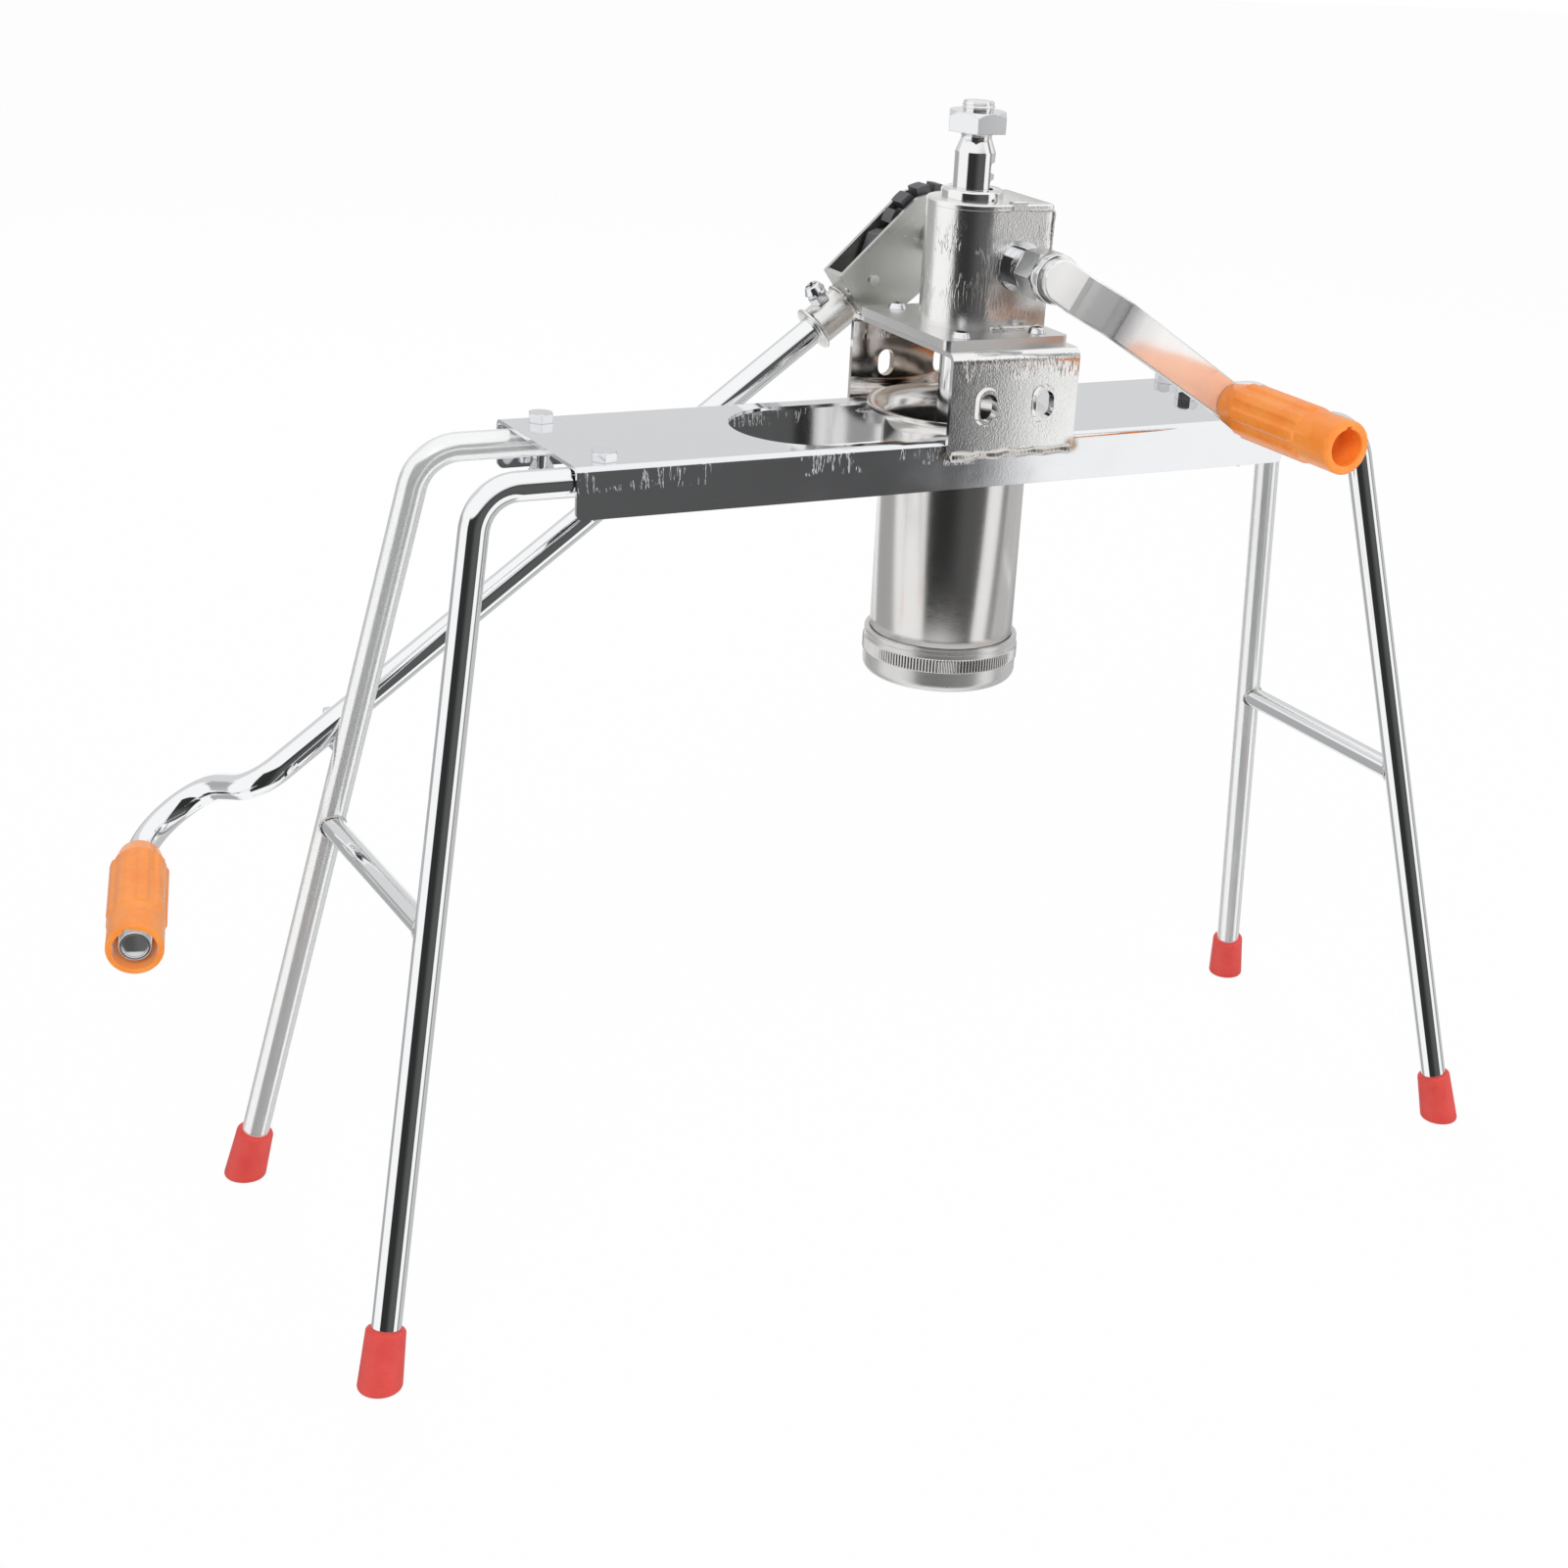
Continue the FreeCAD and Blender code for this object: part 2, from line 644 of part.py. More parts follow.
def bridge():
    """The folded sheet over the slot; its walls have collared oval holes."""
    half = "plate_wide / 2 + bridge_thick + 0.02"
    body = folded("bridge", half, "bridge_foot", "bridge_top", "bridge_thick", "bridge_bend",
                  "bridge_long")
    middle = "bridge_left + bridge_long / 2"
    settle()
    for side in (1, -1):
        collars = sketch_on(body, "XZ_Plane", f"{side} * ({half})")
        for x in OVALS:
            obround(collars, "oval_high - collar_tall / 2", "oval_high + collar_tall / 2",
                    f"{x} - ({middle})", "collar_rad", upright=True)
        pad(body, collars, "collar_out", back=side < 0, taper=-25)
        settle()
    holes = circle(sketch_on(body, "XY_Plane"), f"rack_x - ({middle})", "-plate_mid_y",
                   f"{RACK_ROOM} + 1")
    for x, y in SCREWS:
        circle(holes, f"{x} - ({middle})", f"{y} - plate_mid_y", "2.1")
    pocket(body, holes)
    ovals = sketch_on(body, "XZ_Plane")
    for x in OVALS:
        obround(ovals, "oval_high - oval_tall / 2", "oval_high + oval_tall / 2",
                f"{x} - ({middle})", "oval_rad", upright=True)
    pocket(body, ovals)
    node(body, "bridge", x=middle, y="plate_mid_y")


OVALS = ("6.5", "34.6")
SCREWS = [("-0.5", "-28.4"), ("38", "-26.4"), ("3", "31"), ("41", "31")]


def bridge_welds():
    """The weld beads that join the bridge's walls to the bench flanges."""
    beads = []
    for side in (-1, 1):
        wall_y = f"plate_mid_y + {side} * (plate_wide / 2"
        bead = cylinder("2.6", "bridge_long - 6", "bridge_left + 3", wall_y + " + 0.8)",
                        "bridge_foot - 0.4", (0, 1, 0), "90")
        wall = block("100", "4", "20", "bridge_left - 9", wall_y + f" + 2) - 2 + {side} * 0.01",
                     "bridge_foot - 0.01")
        flange = block("100", "10", "40", "bridge_left - 9", wall_y + " - 5 + 0.01) - 5",
                       "bridge_foot - 20")
        beads.append(minus(bead, wall, flange))
    node(group(beads), "bridge_welds")


def head_plate():
    body = new_body("head_plate")
    rim = box_corners("bridge_left", "head_front", "bridge_left + 60", "head_rear")
    pad(body, outline(sketch_on(body, "XY_Plane"), rim), "head_thick")
    holes = circle(sketch_on(body, "XY_Plane"), "rack_x", "0", RACK_ROOM)
    for x, y in SCREWS:
        circle(holes, x, y, "2.1")
    pocket(body, holes)
    soften(body, "2.5", lambda e: near(e.BoundBox.ZLength, size("head_thick")) and
           e.BoundBox.XLength < 0.1 and e.Curve.TypeId == "Part::GeomLine" and
           abs(e.CenterOfMass.y) > 30)
    node(body, "head_plate", z="bridge_top")


def head_screws():
    """Four cross-recessed screws that hold the head plate to the bridge."""
    screws = []
    for number, (x, y) in enumerate(SCREWS):
        top = "bridge_top + head_thick"
        head = cone("4", "3", "2.4", x, y, top)
        head = softened(head, "0.8", lambda e: near(e.BoundBox.ZMin, size(top + " + 2.4")))
        shank = cylinder("2", "10", x, y, top + " - 10")
        bars = []
        for turn in (20 + 25 * number, 110 + 25 * number):
            bar = block("4", "0.9", "2", "-2", "-0.45", "-1")
            bars.append(place(group([bar]), x, y, top + " + 2", (0, 0, 1), str(turn)))
        screws.append(minus(joined(head, shank), *bars))
    node(group(screws), "head_screws")


def house_outline(sketch, inset="0"):
    """The housing's outline: a round tube that runs into a square box."""
    half = f"house_rad - {inset}"
    right = f"house_right - rack_x - {inset}"
    corners = [("0", f"-({half})"), (right, f"-({half})"), (right, half), ("0", half)]
    corners[0] = ("0", f"-({half})", half, 1)
    return outline(sketch, corners)


def gear_housing():
    body = new_body("gear_housing")
    sketch = house_outline(sketch_on(body, "XY_Plane"))
    house_outline(sketch, "house_wall")
    tall = "house_top - lid_thick - bridge_top - head_thick"
    pad(body, sketch, tall)
    tab = outline(sketch_on(body, "XY_Plane", tall),
                  box_corners("8.5", "-house_rad", "15.5", "-house_rad + house_wall"))
    pad(body, tab, "lid_thick + 1.5")
    bush = circle(sketch_on(body, "XZ_Plane"), "shaft_x - rack_x",
                  "shaft_z - bridge_top - head_thick", "8.02")
    pocket(body, bush)
    soften(body, "1.5", lambda e: near(e.CenterOfMass.x, size("house_right - rack_x")) and
           near(e.BoundBox.ZLength, size(tall)) and near(abs(e.CenterOfMass.y), size("house_rad")))
    node(body, "gear_housing", x="rack_x", z="bridge_top + head_thick")


def housing_lid():
    body = new_body("housing_lid")
    sketch = house_outline(sketch_on(body, "XY_Plane"))
    circle(sketch, "0", "0", "11.52")
    pad(body, sketch, "lid_thick")
    notch = outline(sketch_on(body, "XY_Plane"),
                    box_corners("8.49", "-house_rad - 1", "15.51", "-house_rad + house_wall + 0.01"))
    pocket(body, notch)
    soften(body, "1.5", lambda e: near(e.CenterOfMass.x, size("house_right - rack_x")) and
           near(e.BoundBox.ZLength, size("lid_thick")) and
           near(abs(e.CenterOfMass.y), size("house_rad")))
    node(body, "housing_lid", x="rack_x", z="house_top - lid_thick")


def housing_weld():
    """The bead between the housing's front and the head plate."""
    bead = cylinder("2", "26", "rack_x", "-house_rad - 0.3", "bridge_top + head_thick + 0.3",
                    (0, 1, 0), "90")
    wall = block("60", "20", "20", "rack_x - 9", "-house_rad - 0.01", "bridge_top")
    floor = block("60", "20", "20", "rack_x - 9", "-house_rad - 9", "bridge_top + head_thick - 19.99")
    node(minus(bead, wall, floor), "housing_weld")


def rack_guide():
    """The flanged bush on the lid that the rack slides in."""
    body = new_body("rack_guide")
    spun(body, [(RACK_ROOM, "-10"), ("11.5", "-10"), ("11.5", "0"), ("13.1", "0"),
                ("13.1", "guide_top - house_top - 0.8"), ("12.3", "guide_top - house_top"),
                (RACK_ROOM, "guide_top - house_top")])
    node(body, "rack_guide", x="rack_x", z="house_top")


def shaft_bush(label, inner, flange, outer, shaft, turn):
    """A flanged bush in the housing wall; its axis runs away from the wall."""
    body = new_body(label)
    bore = f"{shaft} + run_gap"
    spun(body, [(bore, inner), ("8", inner), ("8", "house_rad"), ("10.5", "house_rad"),
                ("10.5", flange), ("8", flange), ("8", outer), (bore, outer)])
    node(body, label, x="shaft_x", z="shaft_z", axis=(1, 0, 0), turn=turn)


# Crank


def crank_shaft():
    """The shaft; its thinner rear part starts at the pinion's front face."""
    body = new_body("crank_shaft")
    spun(body, [("0", "-78"), ("rear_rad - 0.8", "-78"), ("rear_rad", "-77.2"), ("rear_rad", "12.01"),
                ("shaft_rad", "12.01"), ("shaft_rad", "-hub_front"), ("0", "-hub_front")])
    node(body, "crank_shaft", x="shaft_x", z="shaft_z", axis=(1, 0, 0), turn="90")


def involute(value):
    return math.tan(value) - value


def gear_gap_corners():
    """The space between two involute pinion teeth, across the X axis."""
    module = size("gear_module")
    teeth = size("gear_teeth")
    pitch_rad = module * teeth / 2
    pressure = math.radians(25)
    base = pitch_rad * math.cos(pressure)
    thick = math.pi * module / 2 - 0.15
    root = pitch_rad - 1.9
    tip = pitch_rad + 1.55

    def flank(radius):
        half = thick / (2 * pitch_rad) + involute(pressure)
        if radius > base:
            half -= involute(math.acos(base / radius))
        turn = math.pi / teeth - half
        return radius * math.cos(turn), radius * math.sin(turn)

    low = flank(root)
    start = flank(base)
    end = flank(tip)
    curl = Part.Arc(V(*start, 0), V(*flank((base + tip) / 2), 0), V(*end, 0)).toShape().Curve.Radius
    out = tip + 2
    texts = [(low[0], -low[1]), (start[0], -start[1]), (end[0], -end[1], curl, 1), (out, -end[1]),
             (out, end[1]), end, (start[0], start[1], curl, 1), low]
    return [tuple("%.5f" % n for n in t[:3]) + tuple(t[3:]) for t in texts]


def pinion():
    body = new_body("pinion")
    sketch = circle(sketch_on(body, "XY_Plane"), "0", "0", "gear_module * gear_teeth / 2 + 1.55")
    circle(sketch, "0", "0", "rear_rad + 0.01")
    pad(body, sketch, "24", middle=True)
    gap = pocket(body, outline(sketch_on(body, "XY_Plane"), gear_gap_corners()))
    round_pattern(body, gap, "gear_teeth")
    node(body, "pinion", x="shaft_x", z="shaft_z", axis=(1, 0, 0), turn="90")


def ring_on_shaft(label, outer, bore, near_y, far_y, chamfer="0.4"):
    """A round collar on the shaft between two Y places, front first."""
    body = new_body(label)
    spun(body, [(bore, f"-({far_y})"), (f"{outer} - {chamfer}", f"-({far_y})"),
                (outer, f"-({far_y}) + {chamfer}"), (outer, f"-({near_y}) - {chamfer}"),
                (f"{outer} - {chamfer}", f"-({near_y})"), (bore, f"-({near_y})")])
    node(body, label, x="shaft_x", z="shaft_z", axis=(1, 0, 0), turn="90")


def crank_nut():
    nut = hexagon("19", "12", "shaft_rad + 0.02", "1.2")
    node(nut, "crank_nut", "shaft_x", "-31.6", "shaft_z", (1, 0, 0), "90")


def rear_nut():
    nut = hexagon("16", "8.5", "rear_rad + 0.02", "1")
    node(nut, "rear_nut", "shaft_x", "chan_near + chan_wide + 0.4", "shaft_z", (-1, 0, 0), "90")


def crank_arm():
    """A flat bar that steps outwards near its hub and tapers towards the grip."""
    side = new_body("arm_side")
    inner = "hub_front"
    outer = "hub_front - arm_jog"
    corners = [("-12", inner), ("-12", f"{inner} - arm_thick"), ("11", f"{inner} - arm_thick"),
               ("25.2", f"{outer} - arm_thick"), ("arm_long + 12", f"{outer} - arm_thick"),
               ("arm_long + 12", outer), ("26.5", outer), ("12.3", inner)]
    pad(side, outline(sketch_on(side, "XY_Plane"), corners), "hub_wide + 2", middle=True)
    soften(side, "6", lambda e: near(e.BoundBox.ZLength, size("hub_wide + 2")) and
           5 < e.CenterOfMass.x < 40)
    face = new_body("arm_face")
    ends = [("arm_long", "-arm_wide / 2"), ("arm_long", "arm_wide / 2", "arm_wide / 2", 1),
            ("0", "hub_wide / 2"), ("0", "-hub_wide / 2", "hub_wide / 2", 1)]
    sketch = outline(sketch_on(face, "XZ_Plane"), ends)
    circle(sketch, "arm_long", "0", "4.01")
    pad(face, sketch, "200", middle=True)
    node(shared(side, face), "crank_arm", "shaft_x", "0", "shaft_z", (0, 1, 0), "arm_tilt")


CRANK_END_X = "shaft_x + arm_long * cos(arm_tilt * 1 deg)"
CRANK_END_Z = "shaft_z - arm_long * sin(arm_tilt * 1 deg)"
ARM_FACE = "hub_front - arm_jog - arm_thick"


def grip_spindle():
    """The axle of the crank grip, riveted through the arm."""
    body = new_body("grip_spindle")
    stop = "grip_long - grip_recess + 0.3"
    spun(body, [("0", "-arm_thick - 1.5"), ("5", "-arm_thick - 1.5"), ("6", "-arm_thick - 0.01"),
                ("4", "-arm_thick - 0.01"), ("4", "0"), ("6", "0"), ("6", stop),
                ("6.7", stop), ("6.7", f"{stop} + 3"), ("5.5", f"{stop} + 4"), ("0", f"{stop} + 4")])
    node(body, "grip_spindle", CRANK_END_X, ARM_FACE, CRANK_END_Z, (1, 0, 0), "90")


def grip(label):
    """A fluted handle grip along Z, neck at the bottom, open end at the top."""
    body = new_body(label)
    collar = "grip_long - grip_collar"
    smooth = "grip_rad - 0.75"
    shoulder = "grip_long - grip_recess"
    spun(body, [("grip_bore", "0"), ("grip_neck_rad - 1", "0"), ("grip_neck_rad", "1", "1", 1),
                ("grip_rad", "grip_neck"), ("grip_rad", f"{collar} - 1"),
                (smooth, f"{collar} + 0.5"), (smooth, "grip_long - 1"),
                (f"{smooth} - 1", "grip_long", "1", 1), ("grip_mouth", "grip_long"),
                ("grip_mouth", shoulder), ("grip_bore", shoulder)])
    flute = circle(sketch_on(body, "XY_Plane", "grip_neck - 4"), "grip_rad + 4.2", "0", "5")
    cut = pocket(body, flute, f"{collar} - grip_neck + 1", back=True)
    round_pattern(body, cut, "9")
    notch = outline(sketch_on(body, "XY_Plane", "grip_long - 4"),
                    box_corners("-1.2", "0", "1.2", "grip_mouth + 1.2"))
    pocket(body, notch, "4.1", back=True)
    return body


def crank_grip():
    node(grip("crank_grip"), "crank_grip", CRANK_END_X, ARM_FACE + " - 0.3", CRANK_END_Z,
         (1, 0, 0), "90")


# Rack and piston


def rack():
    """A round rod, cut flat and toothed at the right, with a threaded top end."""
    body = new_body("rack")
    low = "rack_low"
    spun(body, [("0", f"{low} - 10"), ("5", f"{low} - 10"), ("5", low), ("rack_rad", low),
                ("rack_rad", "rack_high - 5.5"), ("stud_rad", "rack_high"),
                ("stud_rad", "stud_top - 1.2"), ("stud_rad - 1.2", "stud_top"), ("0", "stud_top")])
    face = outline(sketch_on(body, "XZ_Plane"),
                   box_corners("rack_flat", f"{low} - 1", "rack_rad + 1", "rack_high - 7.4"))
    pocket(body, face)
    pitch = "3.14159265 * gear_module"
    line = "shaft_x - rack_x - gear_module * gear_teeth / 2"
    first = f"shaft_z - 15.5 * {pitch}"
    slope = math.tan(math.radians(25))
    root_half = f"{pitch} / 4 + 0.04 - 1.9 * {slope:.6f}"
    crest_half = f"{pitch} / 4 + 0.04 + 2.1 * {slope:.6f}"
    gap = outline(sketch_on(body, "XZ_Plane"),
                  [(f"{line} - 1.9", f"{first} - ({root_half})"),
                   (f"{line} + 2.1", f"{first} - ({crest_half})"),
                   (f"{line} + 2.1", f"{first} + {crest_half}"),
                   (f"{line} - 1.9", f"{first} + {root_half}")])
    cut = pocket(body, gap)
    row_pattern(body, cut, "Z_Axis", "22", f"21 * {pitch}")
    node(body, "rack", x="rack_x")


def rack_nut():
    nut = hexagon("23.4", "8.2", "stud_rad + 0.02", "2")
    node(nut, "rack_nut", "rack_x", "0", "rack_nut_low", (0, 0, 1), "0.5")


def piston():
    body = new_body("piston")
    rim = "bore_rad - 0.35"
    spun(body, [("5.02", "piston_low + 7"), ("10", "piston_low + 7"), ("10", "piston_low"),
                (f"{rim} - 0.6", "piston_low"), (rim, "piston_low + 0.6"),
                (rim, "piston_low + 8.4"), (f"{rim} - 0.6", "piston_low + 9"),
                ("11", "piston_low + 9"), ("11", "rack_low - 0.01"), ("5.02", "rack_low - 0.01")])
    node(body, "piston", x="rack_x")


def piston_nut():
    nut = hexagon("15", "6.4", None, "0.8")
    hole = cylinder("5.02", "20", z="rack_low - 10.01 - piston_low - 0.5")
    node(minus(nut, hole), "piston_nut", "rack_x", "0", "piston_low + 0.5")


# Barrel and die


def barrel():
    """An open tube whose upper edge curls out over the slot."""
    body = new_body("barrel")
    inner_curl = "lip_curl + barrel_rad - bore_rad"
    spun(body, [("bore_rad", "barrel_low"), ("barrel_rad", "barrel_low"), ("barrel_rad", LIP_START),
                ("lip_rad", f"{LIP_START} + lip_curl", "lip_curl", -1),
                ("lip_rad", f"{LIP_START} + {inner_curl}"),
                ("bore_rad", LIP_START, inner_curl, 1)])
    node(body, "barrel", x="rack_x")


LIP_START = "plate_top + 0.01 - sqrt(pow(lip_curl; 2) - pow(lip_rad - slot_half; 2))"


def die_cap():
    """The screw cap under the barrel."""
    body = new_body("die_cap")
    bore = "barrel_rad + run_gap"
    spun(body, [("28", "cap_low"), ("cap_rad - 2.5", "cap_low"), ("cap_rad", "cap_low + 2.5", "2.5", 1),
                ("cap_rad", "cap_high - 0.6"), ("cap_rad - 0.6", "cap_high"), (bore, "cap_high"),
                (bore, "cap_low + 3"), ("28", "cap_low + 3")])
    node(body, "die_cap", x="rack_x")


def die_plate():
    body = new_body("die_plate")
    disc = circle(sketch_on(body, "XY_Plane"), "0", "0", "barrel_rad - 0.1")
    circle(disc, "0", "0", "1.9")
    pad(body, disc, "3")
    for reach, count in (("9", "6"), ("18", "12")):
        hole = pocket(body, circle(sketch_on(body, "XY_Plane"), reach, "0", "1.9"))
        round_pattern(body, hole, count)
    node(body, "die_plate", x="rack_x", z="cap_low + 3.01")


# Lever; its pieces are drawn with X towards the grip and Z towards the floor


def lever_node(thing, label):
    node(thing, label, "shaft_x", "0", "shaft_z", (0, 1, 0), "180 - lever_tilt")


def lever_channel():
    """Two plates round the ratchet wheel, joined by a strip at the far end."""
    body = new_body("lever_channel")
    down = "chan_down"
    round_rad = "(chan_up + chan_down) / 2"
    rim = [("0", "-chan_up", round_rad, 1), ("chan_end", "-chan_up"), ("chan_end", f"{down} - chan_corner"),
           ("chan_end - chan_corner", down, "chan_corner", 1), ("0", down)]
    pad(body, outline(sketch_on(body, "XZ_Plane", "-chan_near"), rim), "chan_wide", back=True)
    wall = "chan_thick"
    room = [("-20", "-chan_up - 1"), (f"chan_end - {wall}", "-chan_up - 1"),
            (f"chan_end - {wall}", f"{down} - chan_corner"),
            ("chan_end - chan_corner", f"{down} - {wall}", f"chan_corner - {wall}", 1),
            ("21", f"{down} - {wall}"), ("21", f"{down} + 1"), ("-20", f"{down} + 1")]
    room_sketch = outline(sketch_on(body, "XZ_Plane", f"-chan_near - {wall}"), room)
    pocket(body, room_sketch, f"chan_wide - 2 * {wall}")
    holes = circle(sketch_on(body, "XZ_Plane"), "0", "0", "rear_rad + run_gap")
    circle(holes, "pawl_pin_far", "-pawl_pin_up", "2.51")
    pocket(body, holes)
    lever_node(body, "lever_channel")


def ratchet_wheel():
    """A toothed wheel; each tooth has a steep and a sloping side."""
    body = new_body("ratchet_wheel")
    sketch = circle(sketch_on(body, "XY_Plane", "chan_near + 4"), "0", "0", "ratchet_rad")
    circle(sketch, "0", "0", "rear_rad + 0.01")
    pad(body, sketch, "8")
    gap = outline(sketch_on(body, "XY_Plane", "chan_near + 4"),
                  [("ratchet_root", "-0.4"), ("ratchet_rad + 1", "-3.5"), ("ratchet_rad + 1", "1.25"),
                   ("ratchet_root", "0.4")])
    cut = pocket(body, gap)
    round_pattern(body, cut, "ratchet_teeth")
    hub = circle(sketch_on(body, "XY_Plane", "chan_near + chan_thick + 0.2"), "0", "0", "9")
    circle(hub, "0", "0", "rear_rad + 0.01")
    pad(body, hub, "chan_wide - 2 * chan_thick - 0.4")
    wheel = place(body, "0", "0", "0", (0, 0, 1), "11.7")
    node(group([wheel]), "ratchet_wheel", "shaft_x", "0", "shaft_z", (-1, 0, 0), "90")


def pawl():
    """The catch over the ratchet wheel, held clear of the teeth."""
    body = new_body("pawl")
    far = "pawl_pin_far"
    up = "-pawl_pin_up"
    rim = [("20.4", "-10.4"), ("17.6", "-15.2"), ("22", "-16.4"), (f"{far} + 4.2", f"{up} - 1.6"),
           (f"{far} - 3.4", f"{up} + 2.95", "4.5", 1), ("25.5", "-6")]
    sketch = outline(sketch_on(body, "XZ_Plane", "-chan_near - 4"), rim)
    circle(sketch, far, up, "2.5 + run_gap")
    pad(body, sketch, "8", back=True)
    lever_node(body, "pawl")


def pawl_pin():
    pin = cylinder("2.5", "chan_wide + 1.6", "pawl_pin_far", "chan_near - 0.8", "-pawl_pin_up",
                   (-1, 0, 0), "90")
    lever_node(group([pin]), "pawl_pin")


def lever_socket():
    """The sleeve on the channel's end, with a ring at its mouth, that takes the lever tube."""
    where = ("chan_end + 0.01", "lever_y", "lever_drop")
    rim = ("socket_end - 1.4", "lever_y", "lever_drop")
    sleeve = cylinder("socket_rad", "socket_end - chan_end", *where, (0, 1, 0), "90")
    flare = cone("socket_rad", "socket_mouth", "0.8", "socket_end - 2.2", "lever_y", "lever_drop",
                 (0, 1, 0), "90")
    mouth = cylinder("socket_mouth", "1.41", *rim, (0, 1, 0), "90")
    bore = cylinder("tube_rad + 0.02", "60", *where, (0, 1, 0), "90")
    hole = cylinder("2.1", "20", SOCKET_SCREW_X, "lever_y", "lever_drop - 20")
    lever_node(minus(joined(sleeve, flare, mouth), bore, hole), "lever_socket")


SOCKET_SCREW_X = "(chan_end + socket_end) / 2 - 0.6"


def socket_screw():
    """The pan head screw that clamps the lever tube, with its nut on the sleeve."""
    where = (SOCKET_SCREW_X, "lever_y")
    top = "lever_drop - socket_rad - 5.2"
    head = cone("3.2", "4.75", "3", *where, top + " - 3")
    head = softened(head, "0.9", lambda e: near(e.BoundBox.ZMax, size(top + " - 3")) and
                    e.Curve.TypeId == "Part::GeomCircle")
    shank = cylinder("2", "socket_rad - tube_rad + 5", *where, top)
    bars = []
    for turn in ("30", "120"):
        bar = group([block("5", "1", "3", "-2.5", "-0.5", "-2")])
        bars.append(place(bar, *where, top + " - 3", (0, 0, 1), turn))
    lever_node(minus(joined(head, shank), *bars), "socket_screw")
    nut = hexagon("8", "4", "2.02", "0.4")
    nut = place(nut, *where, "lever_drop - socket_rad - 3.6")
    sleeve = cylinder("socket_rad + 0.01", "60", "chan_end", "lever_y", "lever_drop", (0, 1, 0), "90")
    lever_node(minus(group([nut]), sleeve), "socket_nut")


def neck_points():
    """Corner points of the bent lever end, and the direction of its grip."""
    start = size("neck_start")
    roll = math.radians(size("neck_roll"))
    first = math.radians(68)
    second = first - math.radians(142)
    heading = V(math.cos(first), math.sin(first), 0)
    last = V(math.cos(second), math.sin(second), 0)
    tangents = (20 * math.tan(first / 2), 24 * math.tan(math.radians(71)))
    corner_one = V(start + tangents[0], 0, 0)
    corner_two = corner_one + heading * (tangents[0] + 12.6 + tangents[1])
    shoulder = corner_two + last * (tangents[1] + 0.5)

    def rolled(spot):
        return V(spot.x, spot.y * math.cos(roll), spot.y * math.sin(roll))

    lift = V(0, size("lever_y"), size("lever_drop"))
    return [rolled(spot) + lift for spot in (corner_one, corner_two, shoulder)], rolled(last)


def lever_tube():
    corners, heading = neck_points()
    start = V(size("chan_end + 1"), size("lever_y"), size("lever_drop"))
    end = corners[2] + heading * size("grip_long - grip_recess + 0.3")
    wire = bent_wire([start, corners[0], corners[1], end], [20, 24])
    tube = rod_along(wire, "tube_rad", "tube_rad - tube_wall")
    lever_node(tube, "lever_tube")


def grip_place(along):
    """Where the lever grip's axis is, some way along it, turned to the machine."""
    corners, heading = neck_points()
    turn = FreeCAD.Rotation(V(0, 1, 0), size("180 - lever_tilt"))
    spot = turn.multVec(corners[2] + heading * along)
    spot += V(size("shaft_x"), 0, size("shaft_z"))
    heading = turn.multVec(heading)
    side = FreeCAD.Rotation(V(0, 0, 1), heading)
    return spot, side.Axis, math.degrees(side.Angle)


def on_grip_axis(thing, label, along):
    spot, axis, turn = grip_place(along)
    node(thing, label, str(spot.x), str(spot.y), str(spot.z), tuple(axis), str(turn))


def lever_grip():
    on_grip_axis(grip("lever_grip"), "lever_grip", 0)


def lever_end_cap():
    """The bright plug that closes the lever tube and keeps the grip on."""
    body = new_body("lever_end_cap")
    bore = "tube_rad - tube_wall - 0.01"
    spun(body, [("0", "-8"), (bore, "-8"), (bore, "0.01"), ("6.7", "0.01"), ("6.7", "9"),
                ("5.7", "10", "1", 1), ("0", "10")])
    on_grip_axis(body, "lever_end_cap", size("grip_long - grip_recess + 0.3"))


def build():
    bench_top()
    for name, signs in CORNERS.items():
        leg("leg_" + name, *signs)
        foot("foot_" + name, *signs)
    crossbar("crossbar_left", -1)
    crossbar("crossbar_right", 1)
    leg_bolts()
    bench_bolt()
    lever_hook()
    bridge()
    bridge_welds()
    head_plate()
    head_screws()
    gear_housing()
    housing_lid()
    housing_weld()
    rack_guide()
    shaft_bush("shaft_bush_front", "house_rad - 3.4", "house_rad + 1.5", "29", "shaft_rad", "90")
    shaft_bush("shaft_bush_rear", "house_rad - 6.7", "house_rad + 1.5", "22", "rear_rad", "-90")
    barrel()
    crank_shaft()
    pinion()
    ring_on_shaft("crank_washer", "9.5", "shaft_rad + 0.02", "-31.6", "-29.3")
    crank_nut()
    ring_on_shaft("crank_collar", "10.4", "shaft_rad + 0.02", "-49", "-43.6")
    crank_arm()
    grip_spindle()
    crank_grip()
    ring_on_shaft("rear_spacer", "8", "rear_rad + 0.02", "22.3", "chan_near - 0.3")
    ratchet_wheel()
    rear_nut()
    rack()
    rack_nut()
    piston()
    piston_nut()
    die_plate()
    die_cap()
    lever_channel()
    pawl()
    pawl_pin()
    lever_socket()
    socket_screw()
    lever_tube()
    lever_end_cap()
    lever_grip()


def check_and_export():
    settle()
    os.makedirs("parts", exist_ok=True)
    whole = FreeCAD.BoundBox()
    for thing in nodes:
        shape = thing.Shape
        if not shape.isValid() or shape.Volume < 1:
            raise RuntimeError("bad shape: " + thing.Label)
        whole.add(shape.optimalBoundingBox(False))
        shape.exportStep("parts/%s.step" % thing.Label)
    print("%d sub-parts, box %s" % (len(nodes), whole))


build()
check_and_export()
